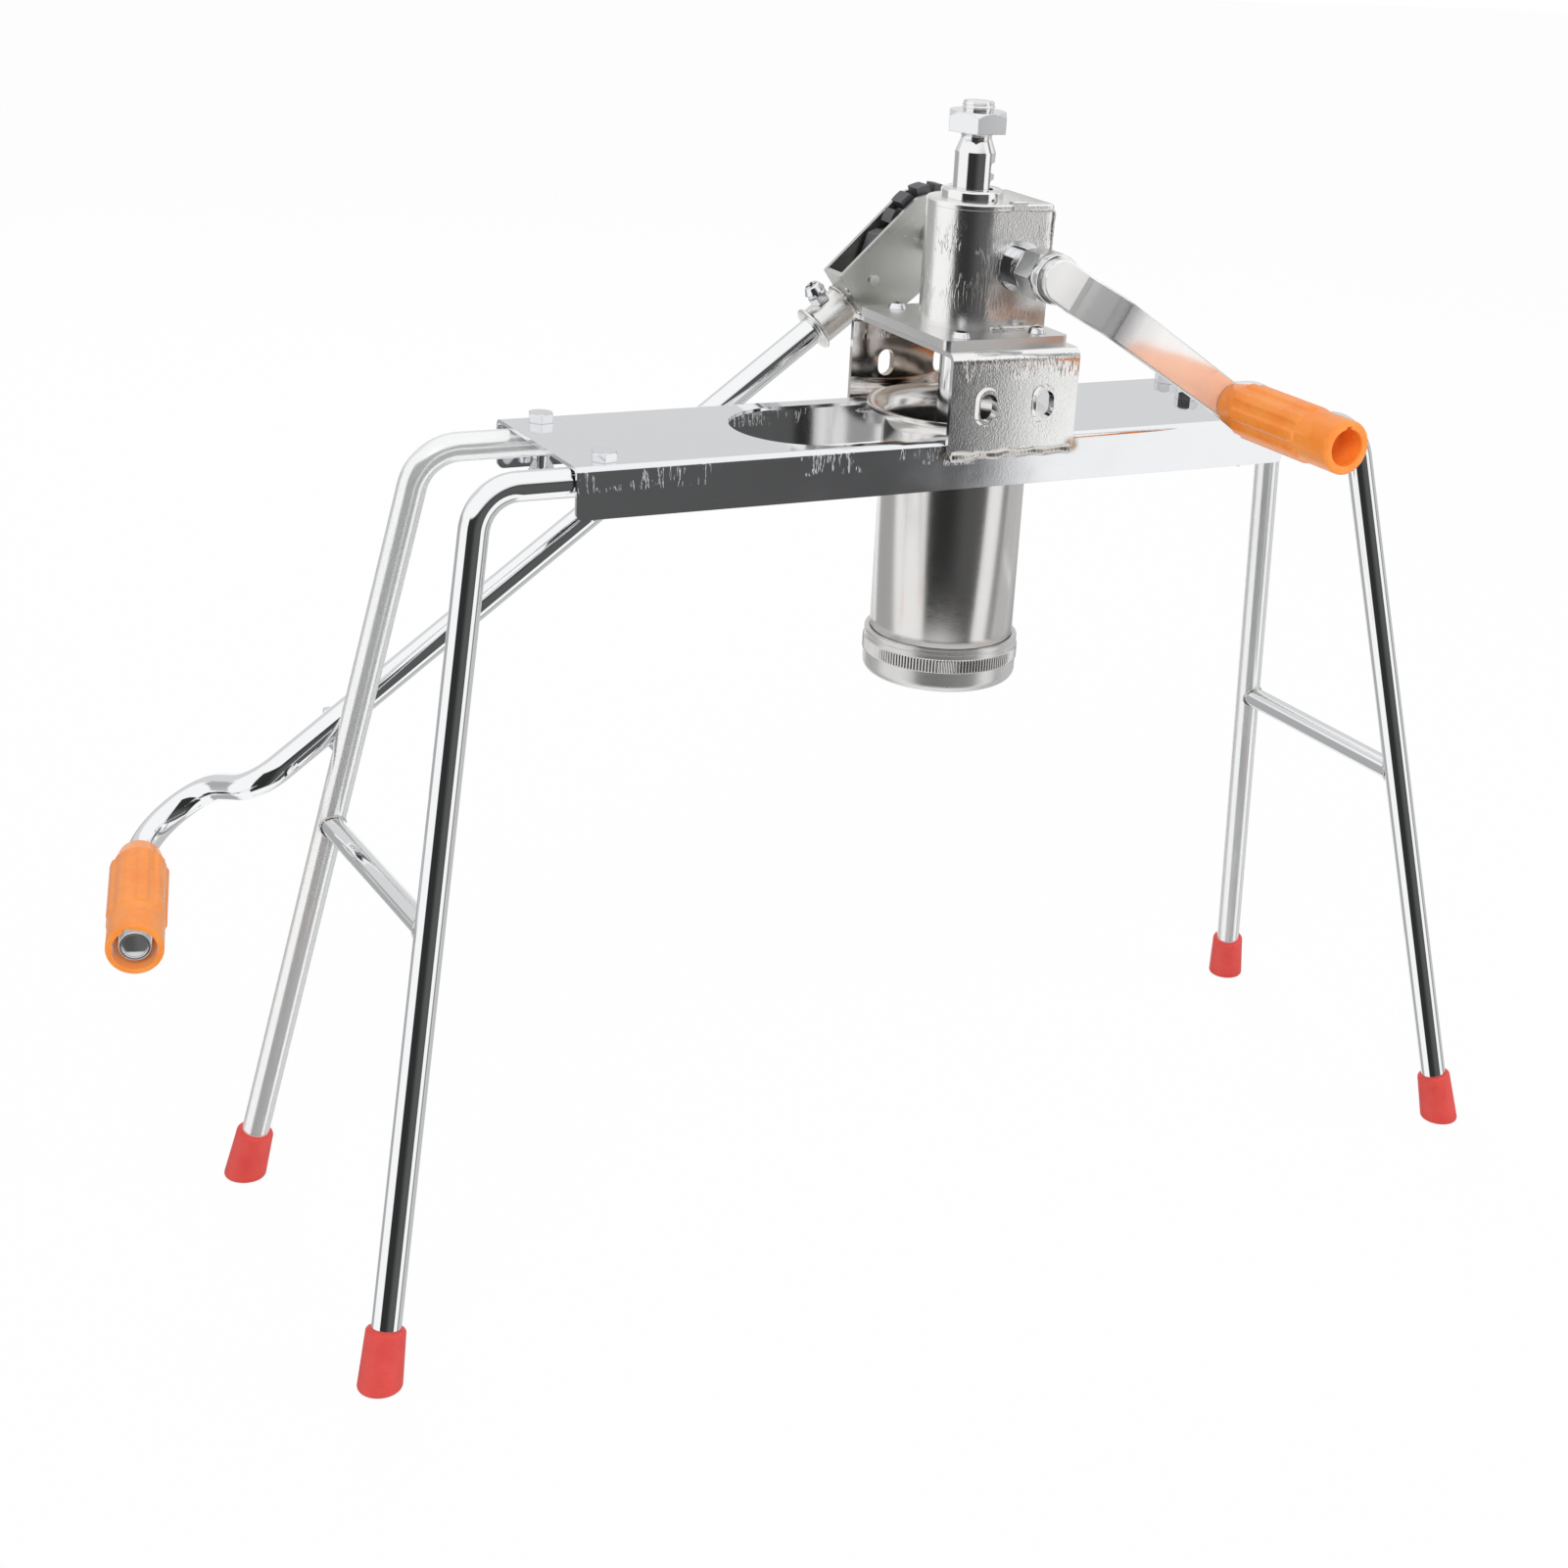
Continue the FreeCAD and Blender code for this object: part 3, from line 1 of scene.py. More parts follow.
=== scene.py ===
"""Looks for the hand-cranked pasta machine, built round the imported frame.

Lengths are metres in the frame's own axes: X along the bench, Y to the rear, Z up. Sizes of pieces are
millimetres until spot() or MM brings them into the frame.
"""
import json
from math import cos, degrees, hypot, pi, radians, sin, sqrt, tan

import bpy
from mathutils import Matrix, Vector, noise


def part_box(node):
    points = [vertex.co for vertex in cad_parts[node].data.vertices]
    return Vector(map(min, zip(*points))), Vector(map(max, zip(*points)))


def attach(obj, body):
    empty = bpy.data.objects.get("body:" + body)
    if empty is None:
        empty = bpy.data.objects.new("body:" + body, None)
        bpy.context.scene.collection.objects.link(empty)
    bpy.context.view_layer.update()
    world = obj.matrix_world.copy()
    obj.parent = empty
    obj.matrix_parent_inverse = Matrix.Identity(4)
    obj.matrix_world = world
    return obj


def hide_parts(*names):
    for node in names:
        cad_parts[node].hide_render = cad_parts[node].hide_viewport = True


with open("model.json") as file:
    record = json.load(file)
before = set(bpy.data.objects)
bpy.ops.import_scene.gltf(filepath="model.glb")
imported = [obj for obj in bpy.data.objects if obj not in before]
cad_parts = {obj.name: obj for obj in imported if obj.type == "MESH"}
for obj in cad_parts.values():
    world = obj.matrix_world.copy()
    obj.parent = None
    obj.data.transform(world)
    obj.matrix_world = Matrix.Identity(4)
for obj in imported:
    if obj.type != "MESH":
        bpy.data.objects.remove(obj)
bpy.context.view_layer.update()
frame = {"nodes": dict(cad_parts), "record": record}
nodes = frame["nodes"]

MM = 0.001
UP = Vector((0, 0, 1))
REAR = Vector((0, 1, 0))
# The model's own zero in the frame, and the machine's driving places in millimetres from it
ZERO = Vector((30.3, 15.3, 0))
SHAFT = Vector((31.5, 0, 421.5))
RACK_X = 17.5
ARM_TILT = radians(31.6)
ARM_LONG = 101
LEVER_TILT = radians(35.7)
LEVER_TURN = Matrix.Rotation(pi - LEVER_TILT, 3, "Y")
LEVER_Y = 64.7
LEVER_DROP = 4.2


def spot(x, y, z):
    """A place of the machine in the frame, in metres."""
    return (Vector((x, y, z)) + ZERO) * MM


def lever_spot(x, y, z):
    """A place on the lever, x along it from the shaft and z towards the floor."""
    return spot(*(LEVER_TURN @ Vector((x, y, z)) + SHAFT))


def arm_end(y):
    """A place on the axis of the crank grip."""
    return spot(SHAFT.x + ARM_LONG * cos(ARM_TILT), y, SHAFT.z - ARM_LONG * sin(ARM_TILT))


RACK_FOOT = spot(RACK_X, 0, 0)


# Helpers for node trees


def feed(tree, socket, value):
    """Gives a socket its value, or links another node's output to it."""
    if isinstance(value, bpy.types.NodeSocket):
        tree.links.new(value, socket)
    else:
        socket.default_value = value


def put(tree, kind, **settings):
    """A node with its settings and inputs, set down on a grid."""
    count = len(tree.nodes)
    node = tree.nodes.new("ShaderNode" + kind)
    node.location = (200 * (count % 6), -300 * (count // 6))
    for name, value in settings.items():
        if hasattr(node, name):
            setattr(node, name, value)
        else:
            feed(tree, node.inputs[name.replace("_", " ")], value)
    return node


def maths(tree, operation, *values):
    """One step of arithmetic on numbers; gives its result."""
    node = put(tree, "Math", operation=operation)
    for socket, value in zip(node.inputs, values):
        feed(tree, socket, value)
    return node.outputs["Value"]


def vector_maths(tree, operation, one, two):
    """One step of arithmetic on two vectors; gives its result."""
    node = put(tree, "VectorMath", operation=operation)
    feed(tree, node.inputs[0], one)
    feed(tree, node.inputs[1], two)
    return node.outputs["Value" if operation in ("DISTANCE", "DOT_PRODUCT") else "Vector"]


def mapped(tree, value, low, high, smooth=False, onto=(0.0, 1.0)):
    """Maps a number between low and high onto another range."""
    kind = "SMOOTHSTEP" if smooth else "LINEAR"
    node = put(tree, "MapRange", interpolation_type=kind, Value=value, From_Min=low, From_Max=high,
               To_Min=onto[0], To_Max=onto[1])
    return node.outputs["Result"]


def surface_place(tree):
    """The place on the surface, in the object's own axes."""
    return put(tree, "TexCoord").outputs["Object"]


def cloudy(tree, place, scale, detail, rough=0.5):
    """A number that varies over the surface in soft patches."""
    return put(tree, "TexNoise", Vector=place, Scale=scale, Detail=detail, Roughness=rough).outputs["Fac"]


def grey_ramp(tree, value, stops):
    """A grey that follows stops of position and level."""
    node = put(tree, "ValToRGB", Fac=value)
    marks = node.color_ramp.elements
    marks[0].position = stops[0][0]
    marks[1].position = stops[-1][0]
    for position, _ in stops[1:-1]:
        marks.new(position)
    for mark, (_, level) in zip(marks, stops):
        mark.color = (level, level, level, 1)
    return node.outputs["Color"]


def two_colours(tree, mask, plain, other):
    """A colour that goes from plain, which may be a node's output, to the other as the mask rises."""
    node = put(tree, "Mix", data_type="RGBA", Factor=mask, B=(*other, 1))
    feed(tree, node.inputs["A"], plain if isinstance(plain, bpy.types.NodeSocket) else (*plain, 1))
    return node.outputs["Result"]


def bumped(tree, height, strength, distance):
    """A surface direction that follows a bump height."""
    return put(tree, "Bump", Height=height, Strength=strength, Distance=distance).outputs["Normal"]


def new_group(name, **inputs):
    """An empty node group that takes numbers and vectors; gives its tree and what it is given."""
    tree = bpy.data.node_groups.new(name, "ShaderNodeTree")
    for socket, value in inputs.items():
        kind = "NodeSocketVector" if isinstance(value, tuple) else "NodeSocketFloat"
        tree.interface.new_socket(socket, in_out="INPUT", socket_type=kind).default_value = value
    start = tree.nodes.new("NodeGroupInput")
    start.location = (-300, 0)
    return tree, start.outputs


def close_group(tree, **outputs):
    """Gives the group its outputs."""
    for socket in outputs:
        tree.interface.new_socket(socket, in_out="OUTPUT", socket_type="NodeSocketFloat")
    end = tree.nodes.new("NodeGroupOutput")
    end.location = (1300, 0)
    for socket, value in outputs.items():
        tree.links.new(value, end.inputs[socket])
    return tree


def use_group(tree, group, **values):
    """A node that runs a group; gives its outputs."""
    return put(tree, "Group", node_tree=group, **values).outputs


# Shared effects


def handling_marks_group():
    """Faint smudges, a number round 0.5, and fine scratches, from 0 up to the amount given."""
    tree, given = new_group("handling marks", Size=40.0, Scratches=0.3)
    place = surface_place(tree)
    drawn = put(tree, "Mapping", Vector=place, Rotation=(0.4, 0.9, 0.3), Scale=(30.0, 900.0, 900.0))
    lines = mapped(tree, cloudy(tree, drawn.outputs["Vector"], 1.0, 3.0), 0.62, 0.74, smooth=True)
    return close_group(tree, Smudge=cloudy(tree, place, given["Size"], 5.0, 0.6),
                       Scratch=maths(tree, "MULTIPLY", lines, given["Scratches"]))


def edge_wear_and_painted_light_group():
    """1 on sharp edges, 0 elsewhere."""
    tree, given = new_group("edge wear and painted light", Width=0.0008)
    rounded = put(tree, "Bevel", samples=6, Radius=given["Width"]).outputs["Normal"]
    agree = vector_maths(tree, "DOT_PRODUCT", rounded, put(tree, "NewGeometry").outputs["Normal"])
    return close_group(tree, Edge=mapped(tree, agree, 0.98, 0.80))


def brushed_group():
    """Fine grain lines along one axis: stretch holds the three scales."""
    tree, given = new_group("brushed grain", Stretch=(900.0, 900.0, 8.0))
    drawn = vector_maths(tree, "MULTIPLY", surface_place(tree), given["Stretch"])
    return close_group(tree, Grain=cloudy(tree, drawn, 1.0, 4.0, 0.7))


def spatter_group():
    """Weld spatter and runs under an edge at a height, drawn out downwards; a bump height."""
    tree, given = new_group("weld spatter", Top=0.354, Depth=0.012, Amount=0.5, Right=1.0)
    place = surface_place(tree)
    parts = put(tree, "SeparateXYZ", Vector=place).outputs
    drawn = put(tree, "Mapping", Vector=place, Scale=(820.0, 820.0, 120.0)).outputs["Vector"]
    drops = cloudy(tree, drawn, 1.0, 2.5, 0.55)
    patches = cloudy(tree, place, 60.0, 1.0)
    runs = mapped(tree, maths(tree, "MULTIPLY", drops, patches), 0.265, 0.31, smooth=True)
    below = maths(tree, "SUBTRACT", given["Top"], parts["Z"])
    band = grey_ramp(tree, maths(tree, "DIVIDE", below, given["Depth"]), ((0.12, 0), (0.4, 1), (1.0, 0)))
    height = maths(tree, "MULTIPLY", maths(tree, "MULTIPLY", runs, band), given["Amount"])
    side = maths(tree, "LESS_THAN", parts["X"], given["Right"])
    return close_group(tree, Height=maths(tree, "MULTIPLY", height, side))


def heat_tint_group():
    """1 near a weld's place and fading out at a distance, with a ragged rim."""
    tree, given = new_group("heat tint", Centre=(0, 0, 0), Reach=0.01)
    place = surface_place(tree)
    away = vector_maths(tree, "DISTANCE", place, given["Centre"])
    share = maths(tree, "DIVIDE", away, given["Reach"])
    ragged = maths(tree, "ADD", share, cloudy(tree, place, 140.0, 3.0))
    return close_group(tree, Tint=mapped(tree, ragged, 1.5, 0.6, smooth=True))


MARKS = handling_marks_group()
EDGES = edge_wear_and_painted_light_group()
GRAIN = brushed_group()
SPATTER = spatter_group()
HEAT = heat_tint_group()


# Materials


def new_material(name):
    """A material with its own shader; gives the material and its tree."""
    made = bpy.data.materials.new(name)
    made.use_nodes = True
    return made, made.node_tree


def shade(tree, **values):
    """Sets or links inputs of a material's shader."""
    for name, value in values.items():
        feed(tree, tree.nodes["Principled BSDF"].inputs[name.replace("_", " ")], value)


def base_colour(tree):
    """What the shader's colour is linked to so far."""
    return tree.nodes["Principled BSDF"].inputs["Base Color"].links[0].from_socket


def spread(tree, source, low, high):
    """Turns smudges or grain into a number between low and high."""
    return mapped(tree, source, 0.3, 0.7, onto=(low, high))


def edged(tree, width, tint, other):
    """A tint that turns into the other on sharp edges."""
    return two_colours(tree, use_group(tree, EDGES, Width=width)["Edge"], tint, other)


def chrome(name, tint, rough, smudge=0.05, rim=0.86, metal=1.0):
    """Bright plating with faint smudges and fine scratches; rim is the share of the tint painted on its
    edges: painted shade along them where it is below 1, a painted highlight where it is above 1.
    """
    made, tree = new_material(name)
    marks = use_group(tree, MARKS, Size=35.0, Scratches=0.35)
    smudged = spread(tree, marks["Smudge"], rough, rough + smudge)
    # Painted shade on the edges where rim is below 1, a painted highlight on them where it is above 1
    shade(tree, Metallic=metal, Base_Color=edged(tree, 0.0006, tint, tuple(rim * c for c in tint)),
          Roughness=maths(tree, "MULTIPLY_ADD", marks["Scratch"], 0.12, smudged))
    return made


def spattered_sheet(name, tint, rough, top, depth, drops_high, speckle, tints, right=1.0):
    """Mirror sheet: runs and spatter under its bent edge, a fine speckle, and heat tint by the welds.

    top is the edge's height, depth how far the runs reach down, and right the X where they end, in metres.
    """
    made = chrome(name, tint, rough)
    tree = made.node_tree
    drops = use_group(tree, SPATTER, Top=top, Depth=depth, Amount=drops_high, Right=right)
    pits = cloudy(tree, surface_place(tree), 1500.0, 2.0)
    height = maths(tree, "MULTIPLY_ADD", pits, speckle, drops["Height"])
    colour = base_colour(tree)
    for centre, reach, burnt in tints:
        heat = use_group(tree, HEAT, Centre=spot(*centre), Reach=reach * MM)
        colour = two_colours(tree, heat["Tint"], colour, burnt)
    shade(tree, Base_Color=colour, Normal=bumped(tree, height, 1.0, MM))
    return made


def brushed(name, tint, low, high, stretch, bump=0.00003, metal=1.0):
    """Metal with a fine grain, and a painted highlight that makes its edges a little brighter."""
    made, tree = new_material(name)
    grain = use_group(tree, GRAIN, Stretch=stretch)["Grain"]
    marks = use_group(tree, MARKS, Size=25.0)
    blend = maths(tree, "MULTIPLY_ADD", marks["Smudge"], 0.3, grain)
    shade(tree, Metallic=metal, Base_Color=edged(tree, 0.0008, tint, tuple(min(1.0, 1.1 * c) for c in tint)),
          Roughness=spread(tree, blend, low, high), Normal=bumped(tree, grain, 0.6, bump))
    return made


def crank_nickel():
    """Satin nickel with a fine grain, and painted shade: a dark band across the bar's bends."""
    made = brushed("satin nickel crank", (0.97, 0.965, 0.96), 0.08, 0.14, (1500.0, 1500.0, 1500.0),
                   0.000004, 0.66)
    tree = made.node_tree
    place = surface_place(tree)
    from_shaft = vector_maths(tree, "SUBTRACT", place, spot(*SHAFT))
    way = (10 * cos(ARM_TILT), 0, -10 * sin(ARM_TILT))
    along = vector_maths(tree, "DOT_PRODUCT", from_shaft, way)
    ragged = maths(tree, "MULTIPLY_ADD", cloudy(tree, place, 900.0, 3.0), 0.03, along)
    # Painted shade: the bar is darkened in a band across its two bends
    painted_bend_shade = grey_ramp(tree, ragged, ((0.155, 0), (0.175, 0.2), (0.275, 0.3), (0.305, 0.9), (0.335, 0.7),
                                      (0.40, 0.2), (0.52, 0)))
    shade(tree, Base_Color=two_colours(tree, painted_bend_shade, base_colour(tree), (0.30, 0.305, 0.315)))
    return made


def mottled(name, size, shades, plain, other, rough, bump, grain=None, metal=0.0):
    """A surface whose colour and roughness follow soft smudges; its bump follows them or a finer grain."""
    made, tree = new_material(name)
    smudge = use_group(tree, MARKS, Size=size)["Smudge"]
    height = cloudy(tree, surface_place(tree), *grain) if grain else smudge
    shade(tree, Metallic=metal, Base_Color=two_colours(tree, mapped(tree, smudge, *shades), plain, other),
          Roughness=spread(tree, smudge, *rough), Normal=bumped(tree, height, *bump))
    return made


def black_steel():
    """Blackened steel, worn lighter on its edges."""
    made, tree = new_material("blackened ratchet steel")
    smudge = use_group(tree, MARKS, Size=120.0)["Smudge"]
    shade(tree, Metallic=0.85, Base_Color=edged(tree, 0.0005, (0.16, 0.162, 0.17), (0.30, 0.30, 0.31)),
          Roughness=spread(tree, smudge, 0.35, 0.55), Normal=bumped(tree, smudge, 0.4, 0.00015))
    return made


def brass():
    """Turned brass with an even, fine grain."""
    made, tree = new_material("turned brass")
    grain = use_group(tree, GRAIN, Stretch=(600.0, 600.0, 600.0))["Grain"]
    shade(tree, Metallic=1.0, Base_Color=two_colours(tree, grain, (0.60, 0.42, 0.17), (0.74, 0.55, 0.26)),
          Roughness=spread(tree, grain, 0.25, 0.4))
    return made


BURNT = (0.42, 0.30, 0.21)
SMOKY = (0.55, 0.47, 0.40)
# The upper edges that the runs of plating hang from, in metres
BENCH_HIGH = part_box("bench_top")[1][2]
BRIDGE_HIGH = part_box("bridge")[1][2]
HOUSING_HIGH = 0.4468
# Heat tint: its centre and reach in millimetres, and its colour
BENCH_TINTS = [((52, -39, 349), 5, BURNT), ((52, 43, 349), 5, BURNT), ((-12, -39, 349), 4, SMOKY)]
BRIDGE_TINTS = [((20, 43, 372), 42, SMOKY), ((49, -41, 350), 4, BURNT)]
HOUSING_TINTS = [((28, -19, 411), 13, SMOKY), ((42, -19, 399), 11, SMOKY)]
FINISHES = {
    "bench_sheet": spattered_sheet(
        "bench mirror sheet", (0.88, 0.89, 0.91), 0.05, BENCH_HIGH, 0.0105, 0.16, 0.003, BENCH_TINTS, 0.034),
    "tube_chrome": chrome("bright chrome tube", (0.92, 0.93, 0.94), 0.03),
    "foot_rubber": mottled(
        "red foot rubber", 90.0, (0.3, 0.75), (0.70, 0.055, 0.045), (0.80, 0.085, 0.07), (0.42, 0.6),
        (0.5, 0.00008), (1200.0, 3.0)),
    # Bolt edges painted at under half the tint: painted shade along the edges
    "bolt_zinc": chrome("bright zinc fixings", (0.86, 0.87, 0.89), 0.10, 0.12, rim=0.42),
    "bridge_sheet": spattered_sheet(
        "bridge mirror sheet", (0.90, 0.895, 0.89), 0.05, BRIDGE_HIGH, 0.012, 0.12, 0.01, BRIDGE_TINTS),
    "weld_metal": mottled(
        "weld bead", 150.0, (0.35, 0.65), (0.62, 0.60, 0.57), (0.82, 0.81, 0.79), (0.15, 0.4), (0.6, 0.0002),
        metal=1.0),
    "housing_metal": spattered_sheet(
        "housing plating", (0.92, 0.915, 0.905), 0.19, HOUSING_HIGH, 0.05, 0.12, 0.05, HOUSING_TINTS),
    "turned_steel": chrome("turned steel", (0.90, 0.90, 0.90), 0.06, 0.08),
    "barrel_steel": brushed(
        "brushed barrel steel", (0.80, 0.785, 0.77), 0.13, 0.21, (300.0, 300.0, 1400.0), 0.000006),
    "die_brass": brass(),
    "piston_metal": brushed("turned piston", (0.72, 0.72, 0.72), 0.2, 0.35, (900.0, 900.0, 900.0)),
    "arm_nickel": crank_nickel(),
    "lever_nickel": brushed(
        "satin nickel plate", (0.68, 0.69, 0.66), 0.22, 0.34, (300.0, 900.0, 300.0), 0.00001),
    "ratchet_black": black_steel(),
    "grip_plastic": mottled(
        "orange grip plastic", 60.0, (0.35, 0.65), (0.97, 0.27, 0.03), (1.0, 0.34, 0.06), (0.22, 0.34),
        (0.35, 0.00006), (700.0, 2.0)),
}
# Finishes of nodes and pieces that differ from their slot's plain one
HAZY_CHROME = chrome("hazed chrome tube", (0.92, 0.93, 0.93), 0.14, 0.12, metal=0.6)
CAP_SATIN = brushed("satin turned cap", (0.74, 0.735, 0.73), 0.22, 0.32, (250.0, 250.0, 900.0),
                    0.000004, 0.8)
# Edges of the plug and crank nut painted brighter than the tint: a painted highlight
DULL_NICKEL = chrome("dull nickel plug", (0.66, 0.67, 0.68), 0.12, 0.2, rim=1.4, metal=0.9)
BRIGHT_NICKEL = chrome("bright nickel socket", (0.88, 0.875, 0.86), 0.2, 0.12)
SPECIAL = {
    "head_plate": chrome("satin head plate", (0.88, 0.875, 0.87), 0.26, 0.1),
    "shaft_bush_front": FINISHES["tube_chrome"],
    "crank_nut": DULL_NICKEL,
}


def dress_nodes():
    """Gives every CAD node the finish of its material slot."""
    for part in frame["record"]["subparts"]:
        data = nodes[part["node"]].data
        data.materials.clear()
        data.materials.append(SPECIAL.get(part["node"], FINISHES[part["material_slot"]]))


dress_nodes()


# Pieces: smooth forms in place of coarse nodes, and details that the solids don't have


def add(name, data):
    """A new object in the scene."""
    made = bpy.data.objects.new(name, data)
    bpy.context.collection.objects.link(made)
    return made


def piece(name, body, slot, verts, faces, stands_for=(), finish=None, crease=None):
    """A smooth-shaded mesh that rides on a CAD body and takes a slot's finish.

    It takes the place of the nodes it stands for. Edges bent by more than crease degrees stay sharp.
    """
    mesh = bpy.data.meshes.new(name)
    mesh.from_pydata([tuple(v) for v in verts], [], faces)
    mesh.polygons.foreach_set("use_smooth", [True] * len(mesh.polygons))
    mesh.materials.append(finish or FINISHES[slot])
    mesh.update()
    made = add(name, mesh)
    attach(made, body)
    if stands_for:
        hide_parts(*stands_for)
    if crease:
        mesh.set_sharp_from_angle(angle=radians(crease))
    return made


def skin(rows, around, closed=True):
    """Faces over rows of points that each run round."""
    faces = []
    for row in range(rows - 1):
        for step in range(around if closed else around - 1):
            a = row * around + step
            b = row * around + (step + 1) % around
            faces.append((a, b, b + around, a + around))
    return faces


def closed_skin(rows, around):
    """Faces over rows that run round, with the last row joined to the first."""
    last = (rows - 1) * around
    return skin(rows, around) + [(last + i, last + (i + 1) % around, (i + 1) % around, i)
                                 for i in range(around)]


def capped_skin(rows, around):
    """Faces over rows that run round, with a face over each end."""
    last = (rows - 1) * around
    return skin(rows, around) + [tuple(range(around - 1, -1, -1)), tuple(range(last, last + around))]


def shell(name, body, slot, rows, stands_for, crease, finish=None):
    """A closed piece over rows of points that each run round."""
    verts = [vert for row in rows for vert in row]
    piece(name, body, slot, verts, closed_skin(len(rows), len(rows[0])), stands_for, finish, crease)


def turns(count):
    """Angles once round, in equal steps."""
    return [2 * pi * step / count for step in range(count)]


def path_way(path, index):
    """The way a path of points runs at one of them."""
    return (path[min(index + 1, len(path) - 1)] - path[max(index - 1, 0)]).normalized()


SLEEVE_WALL = 0.6


def turned_sleeve(name, body, slot, foot, heading, length, radius, around, rows):
    """A closed sleeve round an axis; radius(along, angle) gives its outer face in millimetres."""
    axis = heading.normalized()
    side = axis.orthogonal().normalized()
    up = axis.cross(side)
    inner = radius(0, 0) - SLEEVE_WALL
    verts = []
    for row in range(-1, rows + 1):
        along = length * min(max(row, 0), rows - 1) / (rows - 1)
        for angle in turns(around):
            out = side * cos(angle) + up * sin(angle)
            reach = radius(along, angle) if 0 <= row < rows else inner
            verts.append(foot + (axis * along + out * reach) * MM)
    piece(name, body, slot, verts, closed_skin(rows + 2, around))


def screw_thread(name, body, foot, heading, length, core, crest, pitch):
    """A thread that winds round a plain rod and runs out at both ends."""

    def radius(along, angle):
        phase = (along / pitch - angle / (2 * pi)) % 1.0
        ridge = 1 - abs(2 * phase - 1)
        runout = min(1.0, along / pitch, (length - along) / pitch)
        return core + (crest - core) * ridge * runout

    rows = int(length / pitch * 8) + 1
    turned_sleeve(name, body, "turned_steel", foot, heading, length, radius, 48, rows)


def threads():
    """The rod's thread above and below its nut, and the shaft's rear end."""
    screw_thread("rack_thread_top", "press", spot(RACK_X, 0, 482.2), UP, 3.8, 6.35, 7.0, 1.5)
    screw_thread("rack_thread_low", "press", spot(RACK_X, 0, 471.3), UP, 2.6, 6.35, 7.0, 1.3)
    screw_thread("shaft_thread_rear", "crank", spot(SHAFT.x, 74.4, SHAFT.z), REAR, 3.0, 4.95, 5.4, 1.25)


def turned(name, body, slot, foot, heading, profile, around, stands_for, shape=None, crease=32, finish=None):
    """A closed outline of (radius, along) in millimetres, turned round an axis.

    shape(radius, along, angle) may change the radius; the angle starts on the turned X.
    """
    lean = UP.rotation_difference(heading)
    axis, side, up = heading.normalized(), lean @ Vector((1, 0, 0)), lean @ REAR
    verts = []
    for radius, along in profile:
        for angle in turns(around):
            out = side * cos(angle) + up * sin(angle)
            reach = shape(radius, along, angle) if shape else radius
            verts.append(foot + (axis * along + out * reach) * MM)
    return piece(name, body, slot, verts, closed_skin(len(profile), around), stands_for, finish, crease)


def arc(centre_radius, centre_along, size, start, end, steps=8):
    """Outline points on a quarter or part circle, angles in degrees from the outward direction."""
    points = []
    for step in range(steps + 1):
        angle = radians(start + (end - start) * step / steps)
        points.append((centre_radius + size * cos(angle), centre_along + size * sin(angle)))
    return points


CAP_LOW = 239
CAP_HIGH = 259
CAP_RAD = 33.9
CAP_ROUND = 4.6


def screw_cap():
    """The turned cap under the barrel: a round lower edge, and a fine groove near its rim."""
    profile = [(28, CAP_LOW)] + arc(CAP_RAD - CAP_ROUND, CAP_LOW + CAP_ROUND, CAP_ROUND, -90, 0, 12)
    profile += [(CAP_RAD, 256.6), (CAP_RAD - 0.35, 256.85), (CAP_RAD - 0.35, 257.15), (CAP_RAD, 257.4)]
    profile += [(CAP_RAD, CAP_HIGH - 0.7), (CAP_RAD - 0.2, CAP_HIGH - 0.2), (CAP_RAD - 0.7, CAP_HIGH)]
    profile += [(31.75, CAP_HIGH), (31.7, CAP_HIGH - 0.2), (31.7, CAP_LOW + 3), (28, CAP_LOW + 3)]
    turned("screw_cap", "cap_body", "barrel_steel", RACK_FOOT, UP, profile, 144, ("die_cap",),
           finish=CAP_SATIN)


# The grips: places along a grip from its neck, radii, and the flutes between its ribs
GRIP_LONG = 77
GRIP_RAD = 12
GRIP_SMOOTH = 11.25
GRIP_SHOULDER = 12
GRIP_COLLAR = 56
GRIP_BORE = 6.06
GRIP_STOP = 64
FLUTES = 9
FLUTE_RAD = 5
FLUTE_OUT = 16.2


def rib_height(along, angle):
    """How far the ribs between the flutes stand out of the smooth grip."""
    turn = 2 * pi / FLUTES
    off = (angle + turn / 2) % turn - turn / 2
    across = FLUTE_OUT * sin(off)
    if abs(across) < FLUTE_RAD:
        hollow = FLUTE_OUT * cos(off) - sqrt(FLUTE_RAD ** 2 - across ** 2)
    else:
        hollow = GRIP_RAD
    height = min(GRIP_RAD, hollow) - GRIP_SMOOTH
    start = min(1.0, max(0.0, (along - GRIP_SHOULDER) / 0.7))
    end = min(1.0, max(0.0, (GRIP_COLLAR - along) / 2.2))
    return max(0.0, height) * start * sqrt(1 - (1 - end) ** 2)


